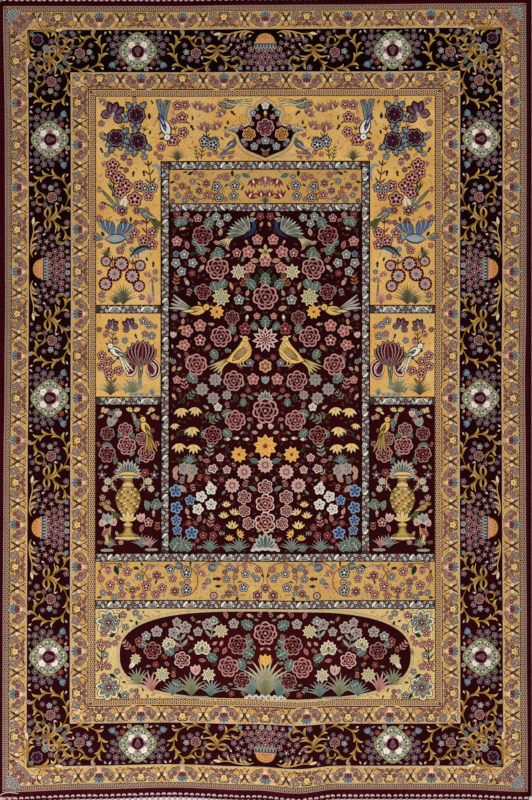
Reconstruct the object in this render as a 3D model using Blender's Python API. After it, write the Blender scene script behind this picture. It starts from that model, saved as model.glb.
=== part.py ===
"""A pile rug lying flat on a floor: one woven body with wavy ends, an overcast cord down each
long side and a knotted warp fringe at each end.

Metres, +Z up. The origin is on the floor under the middle of the rug, and +Y runs along the
rug to its top end, +X across it to its right side.
"""

import math
import random

import bmesh
import bpy

# ---- Driving sizes -------------------------------------------------------------------------
WIDTH = 1.009  # over the two side cords
LENGTH = 1.508  # of the woven body, without the fringe
THICKNESS = 0.006  # foundation and pile
PILE_ROUNDING = 0.0012  # how far the pile rounds over at the body's edges
CORD_WIDTH = 0.005  # an overcast side cord
CORD_HEIGHT = 0.0056
GAP = 0.0003  # between pieces that touch

STRANDS = 93  # bundles of warp ends in each fringe
KNOT_WIDTH = 0.0066
KNOT_HEIGHT = 0.0036
STRIP_HEIGHT = 0.0020  # the knotted strip between two knots
STRIP_DEPTH = 0.0046  # the strip, from the body outwards
STRAND_LENGTH = 0.055
STRAND_SPREAD = 0.004  # how much longer or shorter a strand may be
STRAND_SWAY = 0.0035  # how far the combed strands lean together
SWAY_TURN = 11  # radians of that lean's wave for each metre across
STRAND_STRAY = 0.0011  # and how far each strays by itself
STRAY_SEED = {"top": 8, "bottom": 6}

SWELL = 0.0025  # the low swells near each end
SWELL_START = 0.450  # their distance from the middle, along the rug
SWELL_PITCH = 0.330  # from one swell to the next, across the rug
SWELL_SHIFT = {"top": 0.060, "bottom": -0.100}

COLUMNS = 40  # of the body's mesh, across
MIDDLE_ROWS = 9  # between the swells
END_ROWS = 6  # through the swells at each end

HALF_BODY = WIDTH / 2 - CORD_WIDTH - GAP
HALF_LENGTH = LENGTH / 2
ENDS = {"top": 1, "bottom": -1}
SIDES = {"left": -1, "right": 1}

# How far each end stands out past its straight line, at places across the rug.
END_DRIFT = (
    # across, top, bottom
    (-0.500, 0.0000, 0.0038),
    (-0.330, 0.0000, -0.0020),
    (-0.180, 0.0000, -0.0055),
    (-0.020, 0.0020, 0.0000),
    (0.060, 0.0025, 0.0065),
    (0.140, 0.0030, -0.0020),
    (0.360, 0.0050, -0.0020),
    (0.500, 0.0060, 0.0030),
)

# How far each side stands out past its straight line, at places along the rug.
SIDE_DRIFT = (
    # along, left, right
    (-0.750, 0.0033, 0.0023),
    (-0.480, 0.0030, 0.0005),
    (-0.140, 0.0013, -0.0015),
    (0.030, -0.0008, -0.0030),
    (0.200, -0.0020, -0.0005),
    (0.500, -0.0015, 0.0000),
    (0.750, 0.0020, -0.0010),
)
COLUMN_OF = {"top": 1, "bottom": 2, "left": 1, "right": 2}
DRIFT_FADE = 3  # the power by which a drift fades from its edge to the middle


# ---- Outline and swells --------------------------------------------------------------------
def eased(rows, column, at):
    """The table's value at a place, eased from row to row."""
    if at <= rows[0][0]:
        return rows[0][column]
    for first, second in zip(rows, rows[1:]):
        if at <= second[0]:
            share = (at - first[0]) / (second[0] - first[0])
            ease = (1 - math.cos(math.pi * share)) / 2
            return first[column] + (second[column] - first[column]) * ease
    return rows[-1][column]


def spread(low, high, steps):
    """Evenly spaced places from low to high."""
    return [low + (high - low) * i / steps for i in range(steps + 1)]


def polyline(places, values, at):
    """The value at a place on straight runs between the given places."""
    at = min(max(at, places[0]), places[-1])
    for i in range(len(places) - 1):
        if at <= places[i + 1]:
            share = (at - places[i]) / (places[i + 1] - places[i])
            return values[i] + (values[i + 1] - values[i]) * share
    return values[-1]


ACROSS = spread(-HALF_BODY, HALF_BODY, COLUMNS)
ALONG = (
    spread(-HALF_LENGTH, -SWELL_START, END_ROWS)[:-1]
    + spread(-SWELL_START, SWELL_START, MIDDLE_ROWS)
    + spread(SWELL_START, HALF_LENGTH, END_ROWS)[1:]
)
END_LINE = {end: [eased(END_DRIFT, COLUMN_OF[end], x) for x in ACROSS] for end in ENDS}
SIDE_LINE = {side: [eased(SIDE_DRIFT, COLUMN_OF[side], y) for y in ALONG] for side in SIDES}


def place(x, y):
    """Where a point of the straight rug lies on the real one, in plan."""
    side = "left" if x < 0 else "right"
    end = "bottom" if y < 0 else "top"
    out_x = polyline(ALONG, SIDE_LINE[side], y) * min(1, abs(x) / HALF_BODY) ** DRIFT_FADE
    out_y = polyline(ACROSS, END_LINE[end], x) * min(1, abs(y) / HALF_LENGTH) ** DRIFT_FADE
    return x + SIDES[side] * out_x, y + ENDS[end] * out_y


def swell(x, y):
    """How far the rug stands off the floor there."""
    share = (abs(y) - SWELL_START) / (HALF_LENGTH - SWELL_START)
    if not 0 < share < 1:
        return 0.0
    shift = SWELL_SHIFT["bottom" if y < 0 else "top"]
    across = (1 + math.cos(2 * math.pi * (x - shift) / SWELL_PITCH)) / 2
    return SWELL * math.sin(math.pi * share) ** 2 * across


# ---- Materials -----------------------------------------------------------------------------
def material(name, colour, roughness):
    made = bpy.data.materials.new(name)
    made.use_nodes = True
    shader = made.node_tree.nodes["Principled BSDF"]
    shader.inputs["Base Color"].default_value = (*colour, 1)
    shader.inputs["Roughness"].default_value = roughness
    shader.inputs["Metallic"].default_value = 0
    return made


def finished(mesh, name, dye):
    """Makes a closed bmesh into a named object of one material."""
    bmesh.ops.recalc_face_normals(mesh, faces=mesh.faces)
    data = bpy.data.meshes.new(name)
    mesh.to_mesh(data)
    mesh.free()
    data.materials.append(dye)
    made = bpy.data.objects.new(name, data)
    bpy.context.scene.collection.objects.link(made)
    return made


def bridged(mesh, first, second):
    """Quads between two rings of as many points each."""
    for i in range(len(first)):
        j = (i + 1) % len(first)
        mesh.faces.new((first[i], first[j], second[j], second[i]))


# ---- The woven body ------------------------------------------------------------------------
def pile_point(mesh, column, row, inset, height):
    """A point of the body's mesh, drawn in from the edge by inset where it is on the edge."""
    x, y = ACROSS[column], ALONG[row]
    plan_x, plan_y = place(x, y)
    plan_x -= math.copysign(inset, x) if column in (0, COLUMNS) else 0
    plan_y -= math.copysign(inset, y) if row in (0, len(ALONG) - 1) else 0
    return mesh.verts.new((plan_x, plan_y, height + swell(x, y)))


def border(grid):
    """The outer points of a grid of rows, in order round it."""
    right = [row[-1] for row in grid[1:]]
    left = [row[0] for row in grid[-2:0:-1]]
    return grid[0] + right + grid[-1][-2::-1] + left


def rug_body(dye):
    mesh = bmesh.new()
    last = len(ALONG) - 1
    levels = []
    for inset, height in ((PILE_ROUNDING, THICKNESS), (0, 0)):
        grid = [
            [pile_point(mesh, column, row, inset, height) for column in range(COLUMNS + 1)]
            for row in range(last + 1)
        ]
        for lower, upper in zip(grid, grid[1:]):
            for i in range(COLUMNS):
                mesh.faces.new((lower[i], lower[i + 1], upper[i + 1], upper[i]))
        levels.append(border(grid))
    top, bottom = levels
    shoulder = [
        mesh.verts.new((low.co.x, low.co.y, low.co.z + THICKNESS - PILE_ROUNDING))
        for low in bottom
    ]
    bridged(mesh, top, shoulder)
    bridged(mesh, shoulder, bottom)
    return finished(mesh, "rug_body", dye)


# ---- The overcast side cords ---------------------------------------------------------------
# The cord's section, as shares of its width and height: flat on the floor and round above.
CORD_SECTION = (
    # across, up
    (0.12, 0.00),
    (0.88, 0.00),
    (1.00, 0.35),
    (0.92, 0.78),
    (0.50, 1.00),
    (0.08, 0.78),
    (0.00, 0.35),
)


def side_cord(side, dye):
    mesh = bmesh.new()
    sign = SIDES[side]
    rings = []
    for y in ALONG:
        edge_x, edge_y = place(sign * HALF_BODY, y)
        rings.append(
            [
                mesh.verts.new(
                    (
                        edge_x + sign * (GAP + across * CORD_WIDTH),
                        edge_y,
                        up * CORD_HEIGHT + swell(sign * HALF_BODY, y),
                    )
                )
                for across, up in CORD_SECTION
            ]
        )
    for first, second in zip(rings, rings[1:]):
        bridged(mesh, first, second)
    mesh.faces.new(rings[0])
    mesh.faces.new(rings[-1])
    return finished(mesh, f"side_cord_{side}", dye)


# ---- The knotted fringe --------------------------------------------------------------------
# A strand from its knot to its tip, as shares of its length, width and height.
STRAND_SECTIONS = (
    # along, width, height
    (0.10, 0.62, 0.72),
    (0.50, 0.56, 0.50),
    (1.00, 0.30, 0.34),
)


def strip_ring(mesh, x, sign, height):
    """The strip's four points at one place: its inner edge, then its outer one, from below."""
    end_x, end_y = place(x, sign * HALF_LENGTH)
    inner = end_y + sign * GAP
    outer = inner + sign * STRIP_DEPTH
    corners = ((inner, 0), (outer, 0), (outer, height), (inner, height))
    return [mesh.verts.new((end_x, y, z)) for y, z in corners]


def strand(mesh, root, middle, sign, chance):
    """Carries the strip's outer face between two rings out along the floor to the strand's tip."""
    length = STRAND_LENGTH + chance.uniform(-STRAND_SPREAD, STRAND_SPREAD)
    sway = STRAND_SWAY * math.sin(SWAY_TURN * middle + sign) + chance.uniform(-1, 1) * STRAND_STRAY
    start = sum(v.co.y for v in root) / len(root)
    ring = root
    for along, width, height in STRAND_SECTIONS:
        x = sum(v.co.x for v in root) / len(root) + sway * along
        y = start + sign * length * along
        half = KNOT_WIDTH * width / 2
        up = KNOT_HEIGHT * height
        corners = ((x - half, 0), (x + half, 0), (x + half, up), (x - half, up))
        section = [mesh.verts.new((px, y, pz)) for px, pz in corners]
        bridged(mesh, ring, section)
        ring = section
    mesh.faces.new(ring)


def fringe(end, dye):
    mesh = bmesh.new()
    sign = ENDS[end]
    chance = random.Random(STRAY_SEED[end])
    pitch = 2 * HALF_BODY / STRANDS
    rings = [strip_ring(mesh, -HALF_BODY, sign, STRIP_HEIGHT)]
    knots = []
    for k in range(STRANDS):
        middle = (k + 0.5) * pitch - HALF_BODY
        for x in (middle - KNOT_WIDTH / 2, middle + KNOT_WIDTH / 2):
            rings.append(strip_ring(mesh, x, sign, KNOT_HEIGHT))
        rings.append(strip_ring(mesh, middle + pitch / 2, sign, STRIP_HEIGHT))
        knots.append((len(rings) - 3, middle))
    at_knot = {first for first, _ in knots}
    for i, (left, right) in enumerate(zip(rings, rings[1:])):
        for side in range(4):
            if side == 1 and i in at_knot:  # the outer face, where a strand leaves
                continue
            after = (side + 1) % 4
            mesh.faces.new((left[side], left[after], right[after], right[side]))
    mesh.faces.new(rings[0])
    mesh.faces.new(rings[-1])
    for first, middle in knots:
        left, right = rings[first], rings[first + 1]
        strand(mesh, (left[1], right[1], right[2], left[2]), middle, sign, chance)
    return finished(mesh, f"fringe_{end}", dye)


def main():
    for old in list(bpy.data.objects):
        bpy.data.objects.remove(old)
    rug_body(material("pile", (0.22, 0.05, 0.05), 0.6))
    for side in SIDES:
        side_cord(side, material(f"overcasting_{side}", (0.07, 0.005, 0.02), 0.55))
    for end in ENDS:
        fringe(end, material(f"warp_ends_{end}", (0.70, 0.50, 0.47), 0.7))


main()
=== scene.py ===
"""A fine silk pile rug with a prayer niche, flower borders, overcast sides and knotted fringes.

The rug lies flat on a pale floor and is seen from straight above. Its pattern is laid as flat
shapes of coloured pile, drawn in design millimetres from the rug's middle, +Y to its top end.
"""

import cmath
import math
import random

import bpy
import numpy as np
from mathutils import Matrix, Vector, noise


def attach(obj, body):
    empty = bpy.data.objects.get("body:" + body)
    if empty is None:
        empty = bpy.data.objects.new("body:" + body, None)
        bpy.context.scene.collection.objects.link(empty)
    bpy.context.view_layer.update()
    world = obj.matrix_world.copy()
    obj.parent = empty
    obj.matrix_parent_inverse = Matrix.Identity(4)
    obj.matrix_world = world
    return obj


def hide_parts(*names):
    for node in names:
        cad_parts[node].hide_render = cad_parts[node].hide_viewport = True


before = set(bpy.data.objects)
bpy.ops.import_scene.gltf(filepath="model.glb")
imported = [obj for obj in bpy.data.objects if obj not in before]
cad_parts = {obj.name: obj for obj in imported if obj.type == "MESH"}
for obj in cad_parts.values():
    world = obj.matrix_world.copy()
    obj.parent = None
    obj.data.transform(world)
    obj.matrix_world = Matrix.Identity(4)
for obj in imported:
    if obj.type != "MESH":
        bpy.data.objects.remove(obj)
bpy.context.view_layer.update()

MM = 0.001

# ---- The rug's own sizes, in metres, as in its solids ----
HALF_BODY = 0.4992
HALF_LENGTH = 0.754
EDGE = 0.5015  # half the width of the plain sheet, whose sides run straight
CORD_WIDTH = 0.005
CORD_HEIGHT = 0.0056
GAP = 0.0003
STRANDS = 93  # bundles of warp ends in each fringe
STRAND_LENGTH = 0.055
STRAND_SPREAD = 0.004
STRAND_SWAY = 0.0035
SWAY_TURN = 11  # radians of the sway's wave in each metre across
SWELL = 0.0025  # how high the rug's swells stand off the floor
SWELL_START = 0.450
SWELL_PITCH = 0.330
SWELL_SHIFT = {"top": 0.060, "bottom": -0.100}
DRIFT_FADE = 3  # the power by which a drift dies away towards the rug's middle

# How far each end stands out past its straight line, at places across the rug.
END_DRIFT = (
    # across, top, bottom
    (-0.500, 0.0000, 0.0038),
    (-0.330, 0.0000, -0.0020),
    (-0.180, 0.0000, -0.0055),
    (-0.020, 0.0020, 0.0000),
    (0.060, 0.0025, 0.0065),
    (0.140, 0.0030, -0.0020),
    (0.360, 0.0050, -0.0020),
    (0.500, 0.0060, 0.0030),
)

# How far each side stands out past its straight line, at places along the rug.
SIDE_DRIFT = (
    # along, left, right
    (-0.750, 0.0033, 0.0023),
    (-0.480, 0.0030, 0.0005),
    (-0.140, 0.0013, -0.0015),
    (0.030, -0.0008, -0.0030),
    (0.200, -0.0020, -0.0005),
    (0.500, -0.0015, 0.0000),
    (0.750, 0.0020, -0.0010),
)

# ---- Where the pile's layers lie, in metres ----
SHEET_TOP = 0.0052  # the plain pile under the pattern
GROUND_STEP = 0.00006  # the grounds over it
SHAPE_STEP = 0.00020  # the lowest drawn shape over a ground
LAYER_STEP = 0.000006  # from one drawn shape to the next that lies over it
CELLS = 2  # to a millimetre, in the record of what has been laid
RECORD = (3440, 2240)  # cells along and across
GRID_CELL = 8  # millimetres between the points of a ground
RING_STEP = 9  # millimetres at most from one ring of points in a filled shape to the next

# ---- Dyes, as sRGB values of 0 to 255 ----
DYES = {
    "ink": (18, 3, 4),
    "plum": (52, 3, 12),
    "wine": (46, 5, 11),
    "claret": (74, 8, 18),
    "maroon": (100, 24, 32),
    "rose": (158, 84, 82),
    "pink": (216, 158, 146),
    "blush": (238, 206, 190),
    "cream": (246, 226, 190),
    "white": (250, 242, 230),
    "gold": (246, 192, 100),
    "amber": (226, 158, 78),
    "mustard": (188, 146, 80),
    "straw": (238, 212, 154),
    "sage": (134, 144, 122),
    "moss": (98, 100, 58),
    "olive": (70, 56, 32),
    "teal": (76, 100, 96),
    "green": (28, 44, 34),
    "sky": (146, 166, 182),
    "slate": (98, 110, 122),
    "fog": (126, 138, 142),
    "navy": (42, 34, 60),
    "blue": (48, 74, 130),
    "mauve": (150, 116, 124),
    "dusky pink": (182, 134, 128),
    "old gold": (146, 102, 44),
    "violet": (80, 38, 60),
    "rust": (142, 66, 32),
    "salmon": (206, 128, 98),
    "peach": (232, 188, 134),
    "brown": (88, 50, 26),
    "umber": (46, 22, 15),
    "stone": (188, 180, 164),
    "pewter": (122, 114, 108),
    "lace ground": (96, 64, 46),
    "lace pink": (184, 142, 130),
    "lace cream": (198, 166, 140),
    "lace gold": (226, 180, 138),
    "line": (216, 178, 146),
    "warp": (206, 196, 186),
    "warp pink": (240, 182, 190),
}


# ---- Outline and swells ----
def eased(rows, column, at):
    """The table's values at many places, eased from row to row."""
    stops = np.array([row[0] for row in rows])
    values = np.array([row[column] for row in rows])
    step = np.clip(np.searchsorted(stops, at) - 1, 0, len(stops) - 2)
    share = np.clip((at - stops[step]) / (stops[step + 1] - stops[step]), 0, 1)
    return values[step] + (values[step + 1] - values[step]) * (1 - np.cos(np.pi * share)) / 2


def place(x, y, sides=1):
    """Where points of the straight rug lie on the real one, in plan, in metres.

    The pattern drifts at the rug's sides as well as at its ends; with sides=0 a point doesn't.
    """
    side = np.where(x < 0, -eased(SIDE_DRIFT, 1, y), eased(SIDE_DRIFT, 2, y)) * sides
    end = np.where(y < 0, -eased(END_DRIFT, 2, x), eased(END_DRIFT, 1, x))
    across = x + side * np.minimum(1, np.abs(x) / HALF_BODY) ** DRIFT_FADE
    along = y + end * np.minimum(1, np.abs(y) / HALF_LENGTH) ** DRIFT_FADE
    return across, along


def swell(x, y):
    """How far the rug stands off the floor at each point."""
    share = np.clip((np.abs(y) - SWELL_START) / (HALF_LENGTH - SWELL_START), 0, 1)
    shift = np.where(y < 0, SWELL_SHIFT["bottom"], SWELL_SHIFT["top"])
    across = (1 + np.cos(2 * np.pi * (x - shift) / SWELL_PITCH)) / 2
    return SWELL * np.sin(np.pi * share) ** 2 * across


# ---- Lines and outlines, as complex numbers: across + along * 1j ----
def curve(*points, steps=5):
    """A smooth line through the points, each given as across, along."""
    stops = np.array([complex(x, y) for x, y in points])
    ends = np.concatenate(([2 * stops[0] - stops[1]], stops, [2 * stops[-1] - stops[-2]]))
    t = np.linspace(0, 1, steps, endpoint=False)
    runs = []
    for a, b, c, d in zip(ends, ends[1:], ends[2:], ends[3:]):
        bend = 2 * a - 5 * b + 4 * c - d + t * (3 * (b - c) + d - a)
        runs.append(b + t * (c - a + t * bend) / 2)
    return np.concatenate(runs + [stops[-1:]])


def arc(radius, start, end, steps=8, tall=1.0):
    """Part of a circle or oval round the origin, from one angle to the other in degrees."""
    angle = np.radians(np.linspace(start, end, steps + 1))
    return radius * (np.cos(angle) + 1j * tall * np.sin(angle))


def circle(radius, count=10, tall=1.0):
    """A closed round or oval outline of so many points."""
    return arc(radius, 0, 360, count, tall)[:-1]


def lobed(radius, lobes, depth, detail=4):
    """A round outline with that many lobes, and sharp valleys between them."""
    angle = np.radians(90) + np.linspace(0, 2 * np.pi, lobes * detail, endpoint=False)
    swing = np.abs(np.cos(lobes * (angle - np.radians(90)) / 2)) ** 0.7
    return radius * (1 - depth + depth * swing) * np.exp(1j * angle)


def petal(length, width, belly=1.0, blunt=0.8, detail=5):
    """A petal or leaf from its base at the origin up to its tip."""
    t = np.linspace(0, 1, detail + 1)
    half = width / 2 * np.sin(np.pi * t**belly) ** blunt
    up = half + 1j * length * t
    return np.concatenate((up, (-half + 1j * length * t)[-2:0:-1]))


def jagged(length, width):
    """A leaf with four teeth to each edge, from its base up to its tip."""
    t = np.linspace(0, 1, 10)
    bite = np.where(np.arange(len(t)) % 2, 1.0, 0.62)
    half = width / 2 * np.sin(np.pi * t**0.8) ** 0.6 * bite
    up = half + 1j * length * t
    return np.concatenate((up, (-half + 1j * length * t)[-2:0:-1]))


# ---- Laying coloured pile ----
def dyed(dye):
    """A dye's colour, given its name or the colour itself."""
    return DYES[dye] if isinstance(dye, str) else dye


def blend(first, second, share):
    """A dye between two others."""
    pairs = zip(dyed(first), dyed(second))
    return tuple(a + (b - a) * share for a, b in pairs)


class Pile:
    """One piece of patterned pile: points in design millimetres, each with its layer and dye."""

    def __init__(self, name):
        self.name = name
        self.points = []
        self.heights = []
        self.dyes = []
        self.faces = []
        self.laid = np.zeros(RECORD, np.int16)

    def layer_over(self, points, faces):
        """The lowest layer over all that a shape touches, which it then covers."""
        spots = np.asarray(points)[np.asarray(faces)] * CELLS
        across = spots.real + RECORD[1] / 2
        along = spots.imag + RECORD[0] / 2
        sides = (along.min(1), along.max(1) + 1, across.min(1), across.max(1) + 1)
        patches = [
            self.laid[low:high, left:right]
            for low, high, left, right in np.column_stack(sides).astype(int)
        ]
        layer = 1 + max(int(patch.max()) for patch in patches)
        for patch in patches:
            patch[:] = layer
        return layer

    def lay(self, points, dyes, faces, ground=None):
        """Adds a shape over those that it touches, or at a ground's own level."""
        first = len(self.points)
        if ground is None:
            height = SHAPE_STEP + self.layer_over(points, faces) * LAYER_STEP
        else:
            height = (ground + 1) * GROUND_STEP
        self.points.extend(points)
        self.heights.extend([height] * len(points))
        self.dyes.extend(dyes)
        self.faces.extend((first + a, first + b, first + c) for a, b, c in faces)

    def panel(self, left, right, low, high, tone, cell=GRID_CELL):
        """A rectangle of plain ground, as a grid, with a dye or a dye for each point."""
        columns = max(1, round((right - left) / cell))
        rows = max(1, round((high - low) / cell))
        points = [
            complex(left + (right - left) * i / columns, low + (high - low) * j / rows)
            for j in range(rows + 1)
            for i in range(columns + 1)
        ]
        shades = [tone(p.real, p.imag) if callable(tone) else dyed(tone) for p in points]
        faces = []
        for j in range(rows):
            for i in range(columns):
                a = j * (columns + 1) + i
                b = a + columns + 1
                faces += [(a, a + 1, b + 1), (a, b + 1, b)]
        self.lay(points, shades, faces, 0)

    def band(self, outer, inner, tone, cell=GRID_CELL):
        """The ground between two rectangles round the rug's middle, given by half their sides."""
        (wide, tall), (low_wide, low_tall) = outer, inner
        for sign in (-1, 1):
            low, high = sorted((sign * low_tall, sign * tall))
            self.panel(-wide, wide, low, high, tone, cell)
            left, right = sorted((sign * low_wide, sign * wide))
            self.panel(left, right, -low_tall, low_tall, tone, cell)


class Pen:
    """A place to draw from: its spot, its turn and size as one number, and whether mirrored."""

    def __init__(self, pile, spot=0j, spin=1 + 0j, mirrored=False):
        self.pile = pile
        self.spot = spot
        self.spin = spin
        self.mirrored = mirrored

    def at(self, x, y, turn=0.0, size=1.0, mirror=False):
        """A pen further on, seen from this one: turned anticlockwise, grown and mirrored."""
        step = complex(x, y)
        spin = cmath.rect(size, math.radians(turn))
        if self.mirrored:
            step = -step.conjugate()
            spin = spin.conjugate()
        spot = self.spot + self.spin * step
        return Pen(self.pile, spot, self.spin * spin, self.mirrored != mirror)

    def sides(self):
        """This pen and its mirror image."""
        return self, self.at(0, 0, 0, 1, True)

    def around(self, count, start=0):
        """So many pens at this one's spot, turned evenly round it."""
        for i in range(count):
            yield self.at(0, 0, start + 360 * i / count)

    def seen(self, line):
        """Where a line that is given in this pen's own measure lies on the rug."""
        line = np.asarray(line, complex)
        return self.spot + self.spin * (-line.conjugate() if self.mirrored else line)

    def fill(self, outline, rim, heart=None, centre=None, ground=None):
        """A filled shape, shading from the heart dye at its centre to the rim dye."""
        outline = self.seen(outline)
        middle = outline.mean() if centre is None else self.seen([complex(centre)])[0]
        count = len(outline)
        rings = max(1, math.ceil(np.abs(outline - middle).max() / RING_STEP))
        points = [middle]
        dyes = [dyed(heart or rim)]
        faces = [(0, 1 + i, 1 + (i + 1) % count) for i in range(count)]
        for ring in range(1, rings + 1):
            points += list(middle + (outline - middle) * ring / rings)
            dyes += [blend(heart or rim, rim, ring / rings)] * count
            for i in range(count if ring > 1 else 0):
                a = 1 + (ring - 2) * count + i
                b = 1 + (ring - 2) * count + (i + 1) % count
                faces += [(a, b, b + count), (a, b + count, a + count)]
        self.pile.lay(points, dyes, faces, ground)

    def dot(self, x, y, size, *dyes, count=8, tall=1.0, turn=0):
        """A small round or oval shape."""
        self.at(x, y, turn, size).fill(circle(1, count, tall), *dyes)

    def layers(self, shape, *petals, detail=5):
        """Petals of one shape laid over each other: each one's length, width, dyes and centre."""
        for length, width, *dyes in petals:
            self.fill(petal(length, width, *shape, detail), *dyes)

    def stroke(self, line, width, dye, tip=None):
        """A ribbon along a line. Several widths are spread evenly from its start to its end."""
        line = self.seen(line)
        share = np.linspace(0, 1, len(line))
        stops = np.atleast_1d(np.asarray(width, float)) * abs(self.spin)
        half = np.interp(share, np.linspace(0, 1, len(stops)), stops) / 2
        along = np.gradient(line)
        side = 1j * along / np.maximum(np.abs(along), 1e-9) * half
        count = len(line)
        faces = []
        for i in range(count - 1):
            faces += [(i, i + 1, count + i + 1), (i, count + i + 1, count + i)]
        shades = [blend(dye, tip or dye, s) for s in share]
        self.pile.lay([*(line + side), *(line - side)], shades * 2, faces)

    def edged(self, line, width, dye, edge, rim=1.0, tip=None):
        """A ribbon over a wider one of another dye, which shows as its edge."""
        wide = np.atleast_1d(np.asarray(width, float)) + rim
        self.stroke(line, wide, edge)
        self.stroke(line, width, dye, tip)


# ---- Flowers, each in a circle of radius 1 ----
def floret(pen, tip, heart, eye, petals=5, edge=None):
    """An open flower of round petals, each with a darker heart."""
    if edge:
        pen.fill(lobed(1.2, petals, 0.22), edge)
    for turned in pen.around(petals):
        turned.fill(circle(0.42, 7, 1.1) + 0.56j, tip)
    for turned in pen.around(petals):
        turned.fill(circle(0.26, 5, 1.3) + 0.5j, heart)
    pen.fill(circle(0.2, 5), eye)


def daisy(pen, tip, heart, eye, petals):
    """An open flower of pointed petals."""
    for turned in pen.around(petals):
        turned.fill(petal(1, 0.42, 1.1, 0.9, 3), tip, heart, 0.3j)
    pen.fill(circle(0.24, 7), eye)


def ring_daisy(pen, rim, ground, dash, eye, dashes):
    """A round flower with a dark scalloped rim and short pale petals inside."""
    pen.fill(lobed(1.05, 12, 0.1, 3), rim)
    pen.fill(circle(0.84, 12), ground)
    for turned in pen.around(dashes):
        turned.fill(petal(0.84, 0.3, 1.6, 0.7, 3), dash, ground, 0.3j)
    pen.fill(circle(0.26, 6), eye)


def round_daisy(pen, tip, heart, ring, eye):
    """A round flower of many narrow petals about a ringed disc."""
    for turned in pen.around(12):
        turned.fill(petal(1, 0.42, 1.6, 0.55, 4), tip, heart, 0.45j)
    pen.fill(circle(0.4, 9), ring)
    pen.fill(circle(0.28, 8), eye)


def cluster(pen, tip, heart):
    """A round head of small florets: one in the middle and eight round it."""
    for i in range(9):
        floret(pen.at(0, 0, 45 * i).at(0, 0.7 if i else 0, 0, 0.36), tip, heart, tip, 4)


def rose(pen, body, rim, arcs, petals=7, edge=None):
    """A full rose seen from above: rings of round petals, each with a pale rim."""
    if edge:
        pen.fill(lobed(1.1, petals, 0.1), edge)
    shade = blend(body, "ink", 0.45)
    rings = (
        # away from the middle, radius, count, rim
        (0.58, 0.37, petals, rim),
        (0.37, 0.3, petals - 1, arcs),
        (0.17, 0.22, 3, arcs),
    )
    for ring, (away, radius, count, pale) in enumerate(rings):
        for i in range(count):
            turned = pen.at(0, 0, 24 * ring + 360 * (i + 0.16 * (i % 2)) / count)
            turned.fill(circle(radius, 9) + 1j * away, pale)
            turned.fill(circle(radius * 0.85, 8) + 1j * (away - 0.055), body, shade)
    pen.fill(circle(0.1, 6), rim)


def garden_rose(pen):
    """A dark rose with a ring of large toothed leaves behind it, open at its foot."""
    for i in range(7):
        lean = (2 * i / 6 - 1) * 112
        back = pen.at(0, 0, lean).at(0, 0.5, 6 * (-1) ** i, 1.25 + 0.15 * (-1) ** i)
        rough_leaf(back, ("slate", "fog")[i % 2], "ink", "stone", 0.62)
    rose(pen, "wine", "mauve", "violet", 8, "ink")


def peony(pen, body, rim, eye):
    """A rounder flower of many short petals, seen half from the side."""
    for reach, count, offset in ((1.0, 9, 0), (0.72, 7, 20), (0.45, 5, 0)):
        for turned in pen.around(count, offset):
            turned.fill(petal(reach, reach * 0.62, 1.6, 0.6, 4), rim, body, 0.45j * reach)
    pen.fill(circle(0.18, 6), eye)


def star_flower(pen, rim, body, eye, petals, rings=2, width=0.46):
    """A water lily seen from above: rings of pointed petals, each with a pale rim."""
    for ring in range(rings):
        reach = 1 - 0.36 * ring
        pair = (reach, width * reach, rim), (reach * 0.84, width * 0.56 * reach, body)
        for i in range(petals):
            pen.at(0, 0, 360 * (i + ring / 2) / petals).layers((1.1, 0.9), *pair, detail=3)
    pen.fill(circle(0.2, 7), eye)


def palmette(pen, body, rim, heart):
    """A lotus seen from the side, growing up from its cup."""
    for i in range(7):
        lean = (i - 3) * 150 / 7
        reach = 1.5 - abs(lean) / 180
        pen.at(0, -0.55, -lean).layers((1.3, 0.8), (reach, 0.52, rim), (reach * 0.86, 0.34, body))
    pen.at(0, -0.5).layers((1.2, 0.7), (0.85, 0.7, rim), (0.7, 0.46, heart))
    for sign in (-1, 1):
        pen.stroke(curve((0, -0.6), (sign * 0.55, -0.75), (sign * 0.9, -0.4)), (0.1, 0.22, 0), rim)


def lily(pen, tip, heart, throat, edge=None):
    """A slender flower of three long petals with curled tips."""
    for lean, reach in ((-56, 0.95), (56, 0.95), (-26, 1.0), (26, 1.0), (0, 1.05)):
        leaf = pen.at(0, -0.5, lean)
        if edge:
            leaf.fill(petal(reach * 1.42, 0.5, 0.9, 0.8, 4), edge)
        leaf.fill(petal(reach * 1.3, 0.38, 0.9, 0.8, 4), tip, heart, 0.35j)
    pen.fill(petal(0.7, 0.24, 1, 0.8, 3) - 0.45j, throat)


def tulip(pen, tip, heart, edge=None):
    """A cupped flower of three petals."""
    if edge:
        pen.at(0, -0.75).fill(petal(1.9, 1.5, 1.0, 0.7), edge)
    for lean in (-24, 24, 0):
        pen.at(0, -0.7, lean).fill(petal(1.6, 0.72, 1.0, 0.75, 4), tip, heart, 0.5j)


def iris(pen, fall, standard, throat, edge=None):
    """A large flower of three raised petals and two falling ones."""
    for sign in (-1, 1):
        drop = pen.at(0, 0, sign * 118)
        if edge:
            drop.fill(petal(1.15, 0.86, 1.2, 0.6), edge)
        drop.fill(petal(1.02, 0.66, 1.2, 0.6), fall, standard, 0.6j)
    for lean in (-38, 38, 0):
        up = pen.at(0, -0.15, lean)
        if edge:
            up.fill(petal(1.25, 0.72, 1.1, 0.65), edge)
        up.fill(petal(1.12, 0.52, 1.1, 0.65), standard, fall, 0.5j)
    pen.fill(petal(0.6, 0.26, 1, 0.8, 3) - 0.45j, throat)


def bud(pen, dye, cup="sage"):
    """A closed bud on its cup."""
    pen.at(0, -0.4).fill(petal(1.4, 0.85, 0.9, 0.8, 4), dye)
    pen.at(0, -0.9).fill(petal(0.9, 0.7, 0.7, 0.8, 3), cup)


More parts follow.
